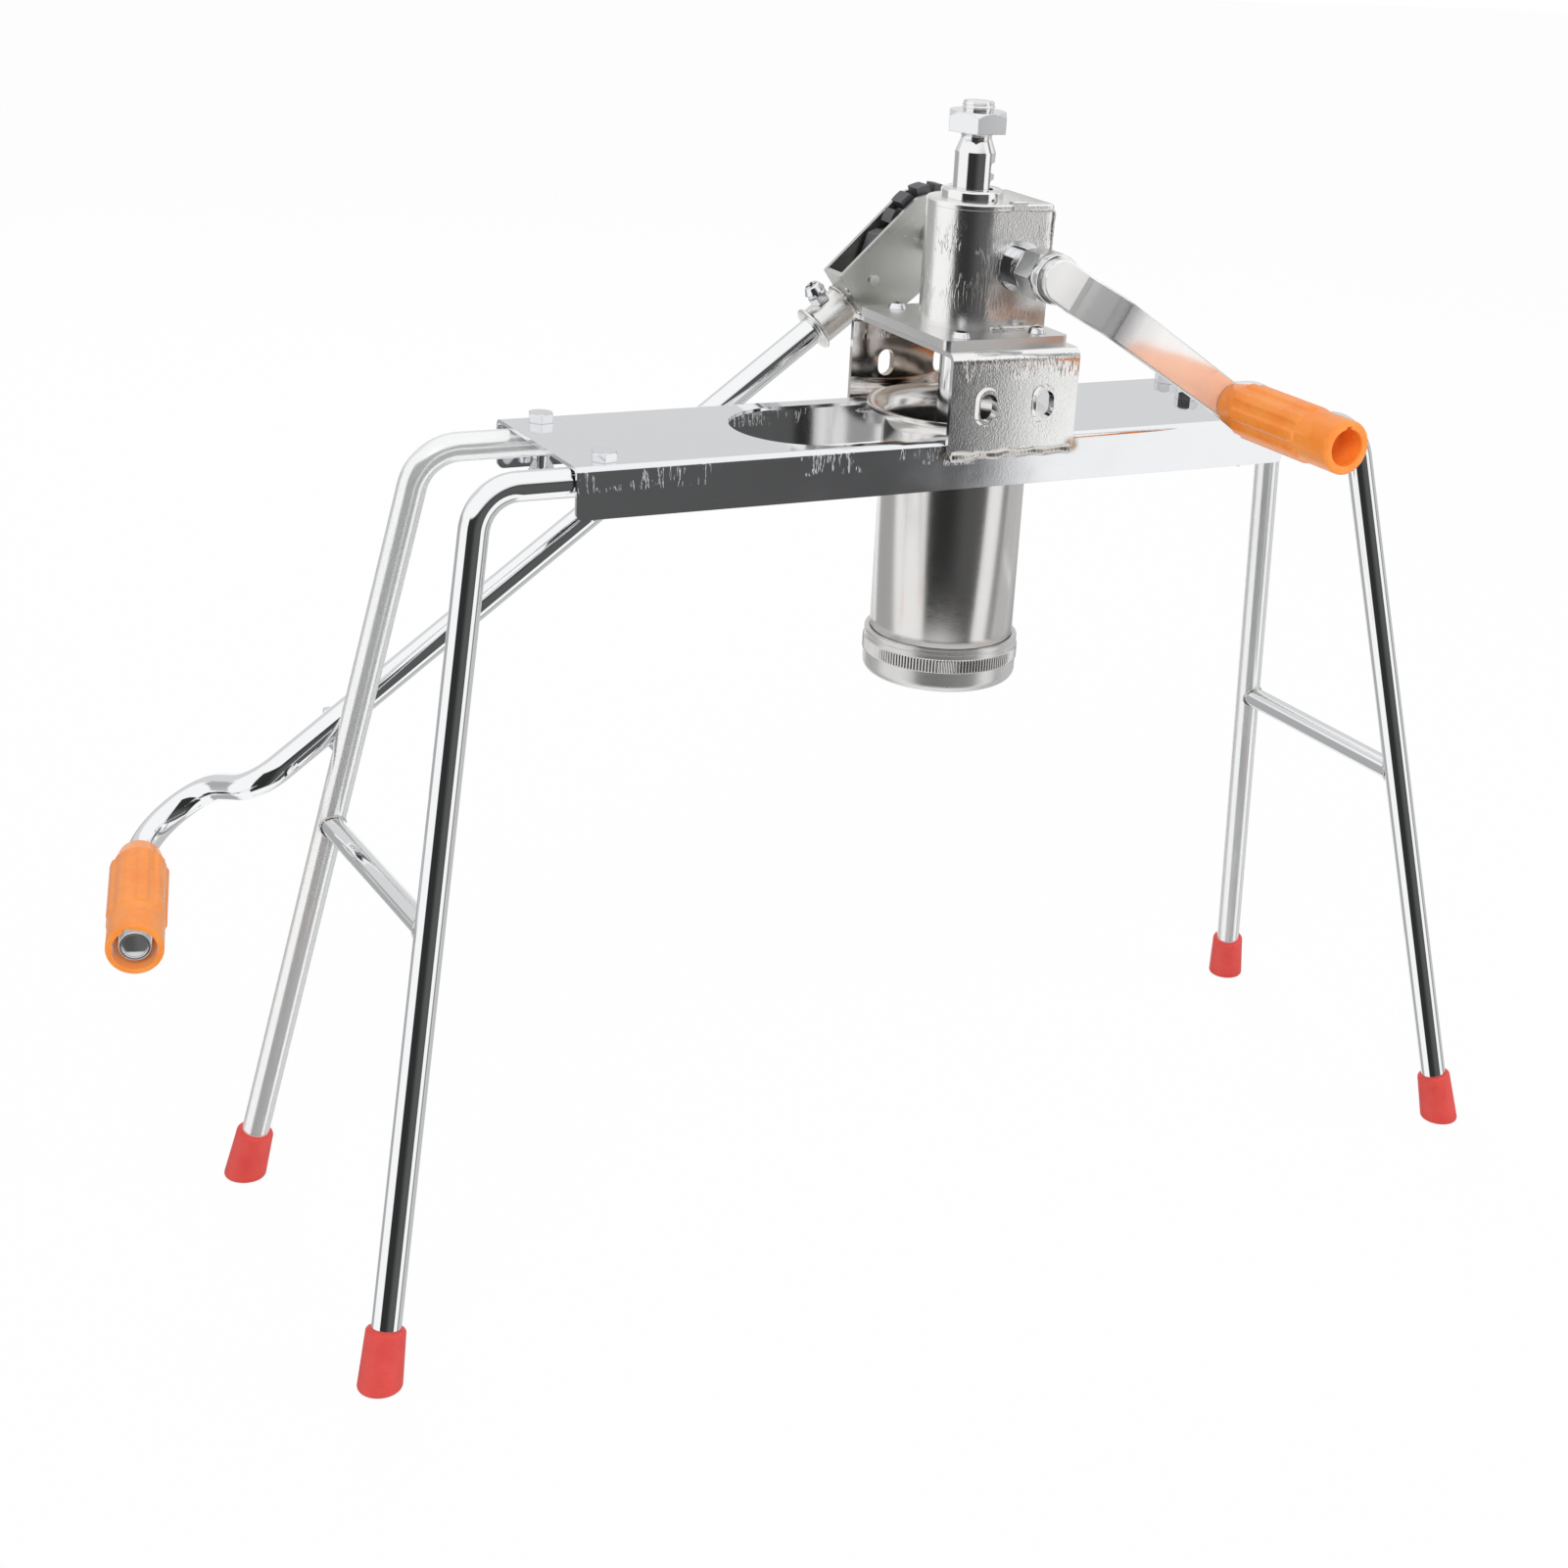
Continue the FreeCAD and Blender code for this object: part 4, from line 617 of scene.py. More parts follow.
def handle_grip(name, body, foot, heading, mouth, stands_for, blind=False):
    """A moulded grip: a tapering neck, raised ribs, a plain collar and a notched mouth."""
    profile = [(GRIP_BORE, 0), (8, 0)] + arc(8.2, 0.8, 0.8, -60, 0, 4)
    profile += [(9 + 2.25 * share / 8, 1 + 10.4 * share / 8) for share in range(9)]
    profile += [(GRIP_SMOOTH, GRIP_SHOULDER), (GRIP_SMOOTH, 12.35), (GRIP_SMOOTH, 12.7), (GRIP_SMOOTH, 13.2)]
    profile += [(GRIP_SMOOTH, 16 + 4.5 * step) for step in range(9)]
    profile += [(GRIP_SMOOTH, GRIP_COLLAR - back) for back in (2.2, 1.6, 1.1, 0.7, 0.35, 0.1, 0)]
    profile += [(GRIP_SMOOTH, 66), (GRIP_SMOOTH, 72.9), (GRIP_SMOOTH, 73.1)]
    profile += arc(GRIP_SMOOTH - 1.2, GRIP_LONG - 1.2, 1.2, 0, 90, 6)
    profile += arc(mouth + 0.5, GRIP_LONG - 0.5, 0.5, 90, 180, 4)
    profile += [(mouth, 73.1), (mouth, 72.9), (mouth - 0.3, GRIP_STOP + 1), (mouth - 1, GRIP_STOP)]
    profile += [(0.05, GRIP_STOP), (0.05, 58), (GRIP_BORE, 58)] if blind else [(GRIP_BORE, GRIP_STOP)]

    def ribbed(radius, along, angle):
        if radius >= GRIP_SMOOTH - 0.01:
            return radius + rib_height(along, angle)
        notch = abs((angle - pi / 2 + pi) % (2 * pi) - pi) * mouth < 1.3
        if notch and along > 73 and radius < mouth + 0.6:
            return radius + 1.1
        return radius

    return turned(name, body, "grip_plastic", foot, heading, profile, FLUTES * 24, stands_for, ribbed, 38)


# The tube of legs and lever
TUBE_RAD = 6
TUBE_BORE = 4.8
# The lever tube's two bends: where they start, their radii, and the straight between them
NECK_START = 363
NECK_BENDS = (20, 24)
NECK_STRAIGHT = 12.6
NECK_ROLL = radians(5.7)
FIRST_BEND = radians(68)
SECOND_BEND = radians(142)


def neck_corners():
    """Corner places of the lever's bent end on the lever, and the way its grip points."""
    one = NECK_BENDS[0] * tan(FIRST_BEND / 2)
    two = NECK_BENDS[1] * tan(SECOND_BEND / 2)
    up = Vector((cos(FIRST_BEND), sin(FIRST_BEND), 0))
    last = Vector((cos(FIRST_BEND - SECOND_BEND), sin(FIRST_BEND - SECOND_BEND), 0))
    first = Vector((NECK_START + one, 0, 0))
    second = first + up * (one + NECK_STRAIGHT + two)

    def rolled(at):
        return Vector((at.x, at.y * cos(NECK_ROLL), at.y * sin(NECK_ROLL)))

    lift = Vector((0, LEVER_Y, LEVER_DROP))
    return [rolled(at) + lift for at in (first, second, second + last * (two + 0.5))], rolled(last)


def lever_grip_place():
    """Where the lever grip's neck sits, and the way it points."""
    corners, heading = neck_corners()
    foot = lever_spot(*corners[2])
    return foot, (lever_spot(*(corners[2] + heading)) - foot).normalized()


def grips():
    """Both orange grips, and the bright plug in the lever grip's mouth."""
    handle_grip("crank_handle", "crank_grip_body", arm_end(-63.3), -REAR, 7.6, ("crank_grip",), True)
    foot, heading = lever_grip_place()
    far_grip = handle_grip("lever_handle", "lever_grip_body", foot, heading, 8.8, ("lever_grip",))
    far_grip.visible_glossy = False
    plug = [(4.7, 60), (4.7, 64.32), (6.3, 64.32), (6.3, 73.2)] + arc(5.7, 73.6, 0.6, 0, 90, 4)
    plug += [(5.2, 74.1), (4.9, 73.8), (4.2, 74.1), (2.4, 74.7), (1.2, 74.85), (0.05, 74.9), (0.05, 60)]
    turned("lever_plug", "lever", "tube_chrome", foot, heading, plug, 48, ("lever_end_cap",),
           finish=DULL_NICKEL)


# Legs: the middle between left and right, the knee and the sole's centre of the leg at the right rear
LEG_MID = 1.4
KNEE = (212.6, 31, 346.99)
SOLE = (276.6, 91, 0)
KNEE_BEND = 19
# How far above the floor a leg's tube ends in its foot, along the leg
LEG_LIFT = 5.05
CROSS_HIGH = 180
CROSS_RAD = 5


def leg_axis(side_x, side_y):
    """A leg's knee, and the way the leg runs down from it."""
    knee, sole = (Vector((LEG_MID + side_x * x, side_y * y, z)) for x, y, z in (KNEE, SOLE))
    return knee, (sole - knee).normalized()


def leg_place(knee, down, high):
    """The place on a leg's axis at a height."""
    return knee + down * ((high - knee.z) / down.z)


def round_corners(corners, bends, step=4):
    """A path through corner points, each inner corner turned on its own radius; step in degrees."""
    path = [corners[0]]
    for before, corner, after, radius in zip(corners, corners[1:], corners[2:], bends):
        into = (before - corner).normalized()
        out = (after - corner).normalized()
        inside = into.angle(out)
        reach = radius / tan(inside / 2)
        middle = corner + (into + out).normalized() * radius / sin(inside / 2)
        arm = corner + into * reach - middle
        axis = arm.cross(corner + out * reach - middle)
        count = max(2, round(degrees(pi - inside) / step))
        for index in range(count + 1):
            path.append(middle + Matrix.Rotation((pi - inside) * index / count, 3, axis) @ arm)
    path.append(corners[-1])
    return path


def bent_tube(name, body, path, radius, bore, stands_for, finish=None):
    """A bright tube along a path of machine places, its wall from bore to radius."""
    side = (path[1] - path[0]).orthogonal().normalized()
    outer, inner = [], []
    for index, at in enumerate(path):
        heading = path_way(path, index)
        side = (side - heading * side.dot(heading)).normalized()
        up = heading.cross(side)
        ways = [side * cos(angle) + up * sin(angle) for angle in turns(40)]
        outer.append([spot(*(at + way * radius)) for way in ways])
        inner.append([spot(*(at + way * bore)) for way in ways])
    shell(name, body, "tube_chrome", outer + inner[::-1], stands_for, 40, finish)


def legs():
    """The four bent leg tubes and the two crossbars."""
    for side_x, end_name in ((-1, "left"), (1, "right")):
        crossing = []
        for side_y, row_name, finish in ((-1, "front", None), (1, "rear", HAZY_CHROME)):
            stand = "leg_%s_%s" % (row_name, end_name)
            knee, down = leg_axis(side_x, side_y)
            inner_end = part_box(stand)[1 if side_x < 0 else 0][0] / MM - ZERO.x
            sole = leg_place(knee, down, 0) - down * LEG_LIFT
            path = round_corners([Vector((inner_end, knee.y, knee.z)), knee, sole], [KNEE_BEND])
            bent_tube("tube_" + stand, "frame", path, TUBE_RAD, TUBE_BORE, (stand,), finish)
            crossing.append(leg_place(knee, down, CROSS_HIGH))
        bent_tube("tube_crossbar_" + end_name, "frame", crossing, CROSS_RAD, 4, ("crossbar_" + end_name,))


BARREL_RAD = 31.6
BARREL_BORE = 29.6
# The rolled lip's inner and outer bend, round one centre
LIP_IN = 7
LIP_OUT = 9
LIP_MID = 38.6


def barrel_tube():
    """The barrel with its rolled lip."""
    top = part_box("barrel")[1][2] / MM - LIP_OUT
    profile = [(BARREL_BORE, 245.4), (BARREL_BORE + 0.2, 245.2), (BARREL_RAD - 0.2, 245.2)]
    profile += [(BARREL_RAD, 245.4), (BARREL_RAD, top)] + arc(LIP_MID, top, LIP_IN, 180, 90, 14)[1:]
    profile += [(LIP_MID, top + 7.3), (LIP_MID + 0.2, top + 8), (LIP_MID, top + 8.7)]
    profile += arc(LIP_MID, top, LIP_OUT, 90, 180, 16)
    turned("barrel_tube", "frame", "barrel_steel", RACK_FOOT, UP, profile[::-1], 144, ("barrel",), crease=50)


def guide_collar():
    """The flanged collar on the lid that the rod slides in."""
    profile = [(8.65, 436.8), (11.5, 436.8), (11.5, 446.8), (13.1, 446.8), (13.1, 449.9), (12.95, 450.4)]
    profile += [(12.5, 450.8), (12.0, 451), (9.0, 451), (8.65, 450.7)]
    turned("guide_collar", "frame", "turned_steel", RACK_FOOT, UP, profile, 96, ("rack_guide",))


# The rod: its lower end, radius and flat, then its teeth: size, slope, play, root and where they end
RACK_LOW = 279
RACK_RAD = 8.6
RACK_FLAT = 6.75
MODULE = 2.2
RACK_PITCH = MODULE * pi
TOOTH_SLOPE = tan(radians(25))
TOOTH_GAP = 0.04
RACK_ROOT = 3.3
TEETH_TOP = 464


def rack_rod():
    """The round rod, cut flat and toothed at the right, with a cone and a stud on top."""
    pitch_line = SHAFT.x - RACK_X - MODULE * 4
    root_half = RACK_PITCH / 4 + TOOTH_GAP - (pitch_line - RACK_ROOT) * TOOTH_SLOPE
    crest_half = RACK_PITCH / 4 + TOOTH_GAP + (RACK_FLAT - pitch_line) * TOOTH_SLOPE
    flats = {RACK_LOW: RACK_FLAT}
    profile = [(0.05, RACK_LOW - 10), (5, RACK_LOW - 10), (5, RACK_LOW), (RACK_RAD, RACK_LOW)]
    for gap in range(22):
        middle = SHAFT.z + (gap - 15.5) * RACK_PITCH
        for at, depth in ((-crest_half, RACK_FLAT), (-root_half, RACK_ROOT), (root_half, RACK_ROOT),
                          (crest_half, RACK_FLAT)):
            if middle + at > RACK_LOW + 0.5:
                flats[round(middle + at, 4)] = depth
                profile.append((RACK_RAD, round(middle + at, 4)))
    flats[TEETH_TOP] = RACK_FLAT
    profile += [(RACK_RAD, TEETH_TOP), (RACK_RAD, TEETH_TOP + 0.02), (RACK_RAD, 465.7), (8.45, 466.1)]
    profile += [(6.6, 471), (6.4, 471.4), (6.4, 485.2), (5.4, 486.2), (0.05, 486.2)]

    def cut(radius, along, angle):
        flat = flats.get(along)
        if flat is None or cos(angle) <= 0:
            return radius
        return min(radius, flat / cos(angle))

    turned("rack_rod", "press", "turned_steel", RACK_FOOT, UP, profile, 96, ("rack",), cut, 30)


# The housing: its round left half, how far it reaches to the right, and its heights
HOUSE_RAD = 19
HOUSE_REACH = 29.5
HOUSE_CORNER = 1.5
HOUSE_LOW = 395
LID_LOW = 444.3
LID_TOP = 446.8
LID_HOLE = 11.52
HOUSE_CREASE = 32


def house_ring(inset, high, hole=None):
    """The housing's outline at a height, moved inwards; or a round hole with as many points."""
    half = HOUSE_RAD - inset
    right = HOUSE_REACH - inset
    corner = max(HOUSE_CORNER - inset, 0.1)

    def corner_points(start, middle):
        angles = [start + pi / 10 * step for step in range(6)]
        return [(right - corner + corner * cos(a), middle + corner * sin(a)) for a in angles]

    left = [pi / 2 + pi * step / 48 for step in range(49)]
    points = [(half * cos(a), half * sin(a)) for a in left]
    points += [((right - corner) * step / 10, -half) for step in range(1, 10)]
    points += corner_points(-pi / 2, corner - half)
    points += [(right, (corner - half) * (1 - step / 4)) for step in range(1, 8)]
    points += corner_points(0, half - corner)
    points += [((right - corner) * (1 - step / 10), half) for step in range(1, 10)]
    if hole:
        points = [(hole * x / hypot(x, y), hole * y / hypot(x, y)) for x, y in points]
    return [spot(RACK_X + x, y, high) for x, y in points]


def housing():
    """The gear housing, round at the left and square at the right, its lid, and a small tab on the lid."""
    walls = ((0, HOUSE_LOW), (0, LID_LOW), (3, LID_LOW), (3, HOUSE_LOW))
    lid = ((0.1, LID_LOW), (0, LID_LOW + 0.15), (0, LID_TOP - 0.9), (0.12, LID_TOP - 0.45),
           (0.45, LID_TOP - 0.12), (0.9, LID_TOP), (0, LID_TOP, LID_HOLE), (0, LID_LOW, LID_HOLE))
    for name, levels, node in (("walls", walls, "gear_housing"), ("cover", lid, "housing_lid")):
        rows = [house_ring(*level) for level in levels]
        shell("housing_" + name, "frame", "housing_metal", rows, (node,), HOUSE_CREASE)
    tab = [spot(x, y, z) for z in (LID_LOW + 0.2, LID_TOP + 0.9, LID_TOP + 1.4)
           for x, y in ((26, -19.35), (33, -19.35), (33, -16), (26, -16))]
    for corner in range(8, 12):
        tab[corner] = tab[corner].lerp(spot(29.5, -17.6, LID_TOP + 1.4), 0.25)
    faces = skin(3, 4) + [(3, 2, 1, 0), (8, 9, 10, 11)]
    piece("housing_tab", "frame", "housing_metal", tab, faces, crease=HOUSE_CREASE)


# Half the bar's width at the hub and at the grip
HUB_HALF = 9
ARM_END_HALF = 7.95
# The bar's middle plane at the hub and at the grip
BAR_IN = -51
BAR_OUT = -61


def crank_bar():
    """The crank's flat bar: it steps outwards near the hub on two soft bends, and narrows to the grip."""
    flat = [Vector((-HUB_HALF, BAR_IN, 0)), Vector((11.6, BAR_IN, 0)), Vector((25.9, BAR_OUT, 0)),
            Vector((ARM_LONG + ARM_END_HALF, BAR_OUT, 0))]
    path = round_corners(flat, [7, 10], 3)
    quarter = [pi * step / 16 for step in range(8)]
    near = [Vector((-HUB_HALF * cos(a), BAR_IN, 0)) for a in quarter[1:]]
    far = [Vector((ARM_LONG + ARM_END_HALF * sin(a), BAR_OUT, 0)) for a in quarter]
    path = path[:1] + near + path[1:-1] + far + path[-1:]
    verts = []
    for index, at in enumerate(path):
        heading = path_way(path, index)
        thick = Vector((heading.y, -heading.x, 0))
        half = HUB_HALF + (ARM_END_HALF - HUB_HALF) * at.x / ARM_LONG
        if at.x < 0:
            half = sqrt(max(0.4, HUB_HALF ** 2 - at.x ** 2))
        if at.x > ARM_LONG:
            half = sqrt(max(0.4, ARM_END_HALF ** 2 - (at.x - ARM_LONG) ** 2))
        soft = min(0.7, 0.9 * half)
        section = [(half - soft, 2), (half - 0.3 * soft, 1.8), (half, 1.3)]
        section += [(across, -out) for across, out in section[::-1]]
        section += [(-across, -out) for across, out in section]
        for across, out in section:
            place = at + thick * out
            x = place.x * cos(ARM_TILT) + across * sin(ARM_TILT)
            z = -place.x * sin(ARM_TILT) + across * cos(ARM_TILT)
            verts.append(spot(SHAFT.x + x, place.y, SHAFT.z + z))
    piece("crank_bar", "crank", "arm_nickel", verts, capped_skin(len(path), 12), ("crank_arm",), crease=22)


RING_BORE = 6.05
RING_EDGE = 0.5


def shaft_ring(name, node):
    """A round collar on the crank shaft in place of its node, with soft edges."""
    low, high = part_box(node)
    radius = (high[2] - low[2]) / 2 / MM
    front, rear = low[1] / MM - ZERO.y, high[1] / MM - ZERO.y
    edge = radius - RING_EDGE
    profile = [(RING_BORE, rear), (edge, rear)] + arc(edge, rear - RING_EDGE, RING_EDGE, 90, 0, 4)
    profile += arc(edge, front + RING_EDGE, RING_EDGE, 0, -90, 4) + [(RING_BORE, front)]
    turned(name, "crank", "turned_steel", spot(SHAFT.x, 0, SHAFT.z), REAR, profile[::-1], 72, (node,))


def crank_axle():
    """The crank grip's axle, riveted through the bar."""
    profile = [(0.05, -5.5), (4.2, -5.4), (5.4, -4.9), (6, -4.01), (4, -4.01), (4, 0), (6, 0), (6, 57),
               (0.05, 57)]
    turned("crank_axle", "crank", "turned_steel", arm_end(-63), -REAR, profile, 48, ("grip_spindle",))


def socket_sleeve():
    """The lever's socket, with a rolled ring at its mouth."""
    foot = lever_spot(0, LEVER_Y, LEVER_DROP)
    heading = lever_spot(1, LEVER_Y, LEVER_DROP) - foot
    start = 47.02
    profile = [(6.02, start), (8.5, start), (8.7, start + 0.3), (8.7, 63.4)]
    profile += [(8.9, 64.0), (9.5, 64.5)] + arc(9.5, 65.25, 0.75, -70, 90, 8) + [(6.4, 66), (6.02, 65.7)]
    turned("socket_sleeve", "lever", "lever_nickel", foot, heading, profile, 96, ("lever_socket",),
           finish=BRIGHT_NICKEL)


# The channel's upper rim: a quarter circle round the shaft, then a straight, and its extra rise
CHANNEL_RAD = 15.1
CHANNEL_DROP = 1.1
CHANNEL_LONG = 47
CHANNEL_TOP = -14
CHANNEL_WALL = 2
CHANNEL_RISE = 5.6


def channel_rims():
    """The upper rims of the lever's two walls, which rise towards the shaft."""
    low, high = [], []
    for step in range(17):
        angle = pi - pi / 2 * step / 16
        x = CHANNEL_RAD * cos(angle)
        low.append((x, CHANNEL_DROP - CHANNEL_RAD * sin(angle)))
        high.append((x, CHANNEL_DROP - (CHANNEL_RAD + CHANNEL_RISE) * sin(angle)))
    for step in range(1, 13):
        x = CHANNEL_LONG * step / 12
        low.append((x, CHANNEL_TOP))
        high.append((x, CHANNEL_TOP - CHANNEL_RISE * (1 - step / 12) - 0.02))
    count = len(low)
    last = 3 * count
    faces = skin(4, count, closed=False) + [(last + i, last + i + 1, i + 1, i) for i in range(count - 1)]
    faces += [tuple(row * count for row in range(4)), tuple((4 - row) * count - 1 for row in range(4))]
    for name, near in (("channel_rim_near", 50), ("channel_rim_far", 64)):
        far = near + CHANNEL_WALL
        verts = [lever_spot(x, y, z) for outline, y in ((low, near), (high, near), (high, far), (low, far))
                 for x, z in outline]
        piece(name, "lever", "lever_nickel", verts, faces, crease=30)


def lever_pipe():
    """The lever's tube, bent twice near its grip."""
    corners, heading = neck_corners()
    start = Vector((48, LEVER_Y, LEVER_DROP))
    path = round_corners([start] + corners[:2] + [corners[2] + heading * 64.3], NECK_BENDS)
    path = [LEVER_TURN @ at + SHAFT for at in path]
    bent_tube("lever_pipe", "lever", path, TUBE_RAD, TUBE_BORE, ("lever_tube",))


KNURL_COUNT = 150
KNURL_TALL = 6.6


def knurled_band():
    """The straight knurl round the screw cap."""

    def radius(along, angle):
        ridge = 0.5 + 0.5 * cos(KNURL_COUNT * angle)
        rise = min(1.0, along / 0.5, (KNURL_TALL - along) / 0.5)
        return 33.8 + 0.55 * rise * (0.25 + 0.75 * ridge)

    turned_sleeve("cap_knurl", "cap_body", "barrel_steel", spot(RACK_X, 0, 248.4), UP, KNURL_TALL, radius,
                  KNURL_COUNT * 6, 12)


# Weld beads: points round a bead, steps along it, the length of one ripple and of its ends
BEAD_AROUND = 12
BEAD_STEP = 0.45
BEAD_BEAT = 1.7
BEAD_END = 1.5


def weld_bead(name, body, path, thick, seed, stands_for=(), closed=False, ripple=1.0):
    """A rippled bead along a path of points in metres; thick in millimetres."""
    lengths = [0.0]
    for one, two in zip(path, path[1:]):
        lengths.append(lengths[-1] + (two - one).length)
    rows = max(8, int(lengths[-1] / (BEAD_STEP * MM)))
    verts = []
    for row in range(rows):
        along = lengths[-1] * row / (rows - 1)
        index = max(i for i in range(len(path) - 1) if lengths[i] <= along + 1e-9)
        share = (along - lengths[index]) / (lengths[index + 1] - lengths[index])
        centre = path[index].lerp(path[index + 1], share)
        before = path[max(index - 1, 0)] if not closed or index else path[-2]
        heading = (path[index + 1] - before).normalized()
        side = heading.orthogonal() if abs(heading.z) > 0.9 else heading.cross(UP)
        side.normalize()
        up = side.cross(heading)
        beat = (along / MM / BEAD_BEAT) % 1.0
        lump = 1 + ripple * (0.2 * beat - 0.14 + 0.3 * noise.noise(Vector((along * 300, seed, 0))))
        lump += 0.25 * noise.noise(Vector((along * 90, seed, 5)))
        to_end = min(along, lengths[-1] - along) / MM
        ends = 1.0 if closed else min(1.0, 0.35 + to_end / BEAD_END)
        for angle in turns(BEAD_AROUND):
            rough = 1 + 0.12 * ripple * noise.noise(Vector((along * 900, 3 * cos(angle), seed)))
            reach = thick * lump * ends * rough * MM
            verts.append(centre + side * cos(angle) * reach + up * sin(angle) * reach)
    faces = closed_skin(rows, BEAD_AROUND) if closed else capped_skin(rows, BEAD_AROUND)
    piece(name, body, "weld_metal", verts, faces, stands_for)


def ring(centre, axis, radius, count=40):
    """Points of a circle round an axis, closed, in metres."""
    side = axis.orthogonal().normalized()
    up = axis.normalized().cross(side)
    angles = [2 * pi * i / count for i in range(count + 1)]
    return [centre + (side * cos(a) + up * sin(a)) * radius * MM for a in angles]


def wavy(one, two, sway, seed, steps):
    """A hand-run line between two places, never quite straight."""
    points = [one.lerp(two, i / (steps - 1)) for i in range(steps)]
    for index, point in enumerate(points[1:-1]):
        point.x += sway * MM * noise.noise(Vector((index * 0.7, seed, 0)))
        point.z += sway * MM * noise.noise(Vector((index * 0.7, seed, 9)))
    return points


def crossbar_welds():
    """A bead round each crossbar end, on the curve where the bar meets the leg."""
    bar = CROSS_RAD + 0.1
    leg = TUBE_RAD + 0.1
    for side_x, side_y in ((-1, -1), (-1, 1), (1, -1), (1, 1)):
        knee, down = leg_axis(side_x, side_y)
        at = leg_place(knee, down, CROSS_HIGH)
        along = Vector((0, -side_y, 0))
        flat = along - down * along.dot(down)
        path = []
        for step in range(33):
            angle = 2 * pi * step / 32
            start = at + Vector((bar * cos(angle), 0, bar * sin(angle)))
            apart = start - at
            apart -= down * apart.dot(down)
            # Where a line along the bar's surface leaves the leg's round surface
            b = apart.dot(flat)
            c = apart.length_squared - leg ** 2
            reach = (-b + sqrt(b * b - flat.length_squared * c)) / flat.length_squared
            path.append(spot(*(start + along * reach)))
        name = "weld_cross_%s_%s" % ("left" if side_x < 0 else "right", "front" if side_y < 0 else "rear")
        weld_bead(name, "frame", path, 0.8, side_x + 2 * side_y, closed=True)


# Straight beads: name, the node replaced, start, end, sway and its seed, points, thickness, seed, ripple
BEADS = (
    ("bridge_front", "bridge_welds", (-9.6, -39.9, 348.2), (50.4, -39.9, 348.2), 0.9, 1, 14, 2.4, 3, 0.15),
    ("bridge_rear", None, (-9.6, 44.4, 348.2), (50.4, 44.4, 348.2), 0.9, 2, 14, 2.4, 4, 0.15),
    ("housing_foot", "housing_weld", (19, -19.3, 395.6), (44, -19.3, 395.6), 1.0, 5, 14, 1.2, 6, 0.0),
    ("lid_left", None, (18, -19, 444.3), (25.4, -19, 444.3), 0.5, 7, 6, 0.8, 8, 1.0),
    ("lid_right", None, (34, -19, 444.3), (45.6, -19, 444.3), 0.5, 9, 6, 0.8, 10, 1.0),
    ("corner", None, (46.4, -18.4, 424), (46.4, -18.4, 444.5), 0.6, 11, 8, 1.1, 12, 1.0),
)


def frame_welds():
    """The hand-run beads of bridge, housing and lid, and the rings of weld on the lever."""
    for name, node, one, two, sway, sway_seed, steps, thick, seed, ripple in BEADS:
        path = wavy(spot(*one), spot(*two), sway, sway_seed, steps)
        weld_bead("weld_" + name, "frame", path, thick, seed, (node,) if node else (), ripple=ripple)
    along = lever_spot(1, 0, 0) - lever_spot(0, 0, 0)
    socket = ring(lever_spot(47.6, LEVER_Y, LEVER_DROP), along, 8.9)
    weld_bead("weld_socket", "lever", socket, 0.9, 13, closed=True)
    tack = ring(lever_spot(47.1, 52.5, -5.5), along, 1.5, 16)
    weld_bead("weld_tack", "lever", tack, 0.75, 14, closed=True)


threads()
legs()
barrel_tube()
guide_collar()
rack_rod()
housing()
crank_bar()
shaft_ring("crank_ring_front", "crank_washer")
shaft_ring("crank_ring_rear", "crank_collar")
crank_axle()
lever_pipe()
socket_sleeve()
channel_rims()
screw_cap()
knurled_band()
grips()
frame_welds()
crossbar_welds()


# Stage


def mixed(tree, share, one, two):
    """A shader between two others; gives its output."""
    node = put(tree, "MixShader", Fac=share)
    feed(tree, node.inputs[1], one)
    feed(tree, node.inputs[2], two)
    return node.outputs["Shader"]


WHITE = (1, 1, 1, 1)
FLOOR_HALF = 6.0
FLOOR_GLOW = 0.965


def floor():
    """A pale matt floor that the camera sees almost white."""
    mesh = bpy.data.meshes.new("floor")
    corners = [(x * FLOOR_HALF, y * FLOOR_HALF, 0) for x, y in ((-1, -1), (1, -1), (1, 1), (-1, 1))]
    mesh.from_pydata(corners, [], [(0, 1, 2, 3)])
    made = add("floor", mesh)
    material, tree = new_material("pale floor")
    shade(tree, Roughness=0.9, Base_Color=(0.9, 0.9, 0.9, 1), Specular_IOR_Level=0.0)
    white = put(tree, "Emission", Color=WHITE, Strength=1.0).outputs["Emission"]
    seen = maths(tree, "MULTIPLY", put(tree, "LightPath").outputs["Is Camera Ray"], FLOOR_GLOW)
    glow = mixed(tree, seen, tree.nodes["Principled BSDF"].outputs["BSDF"], white)
    feed(tree, tree.nodes["Material Output"].inputs["Surface"], glow)
    mesh.materials.append(material)
    made.visible_glossy = False


def card_group():
    """1 inside a window of directions: azimuth from the front round to +X, and height, in degrees."""
    tree, given = new_group("studio card", Azimuth=0.0, Height=0.0, From=-60.0, To=30.0, Low=-50.0,
                            High=25.0, Soft=3.0)
    card = 1.0
    for more, less in (("Azimuth", "From"), ("To", "Azimuth"), ("Height", "Low"), ("High", "Height")):
        inside = maths(tree, "SUBTRACT", given[more], given[less])
        share = maths(tree, "DIVIDE", inside, given["Soft"])
        card = maths(tree, "MULTIPLY", card, mapped(tree, share, -0.5, 0.5, smooth=True))
    return close_group(tree, Card=card)


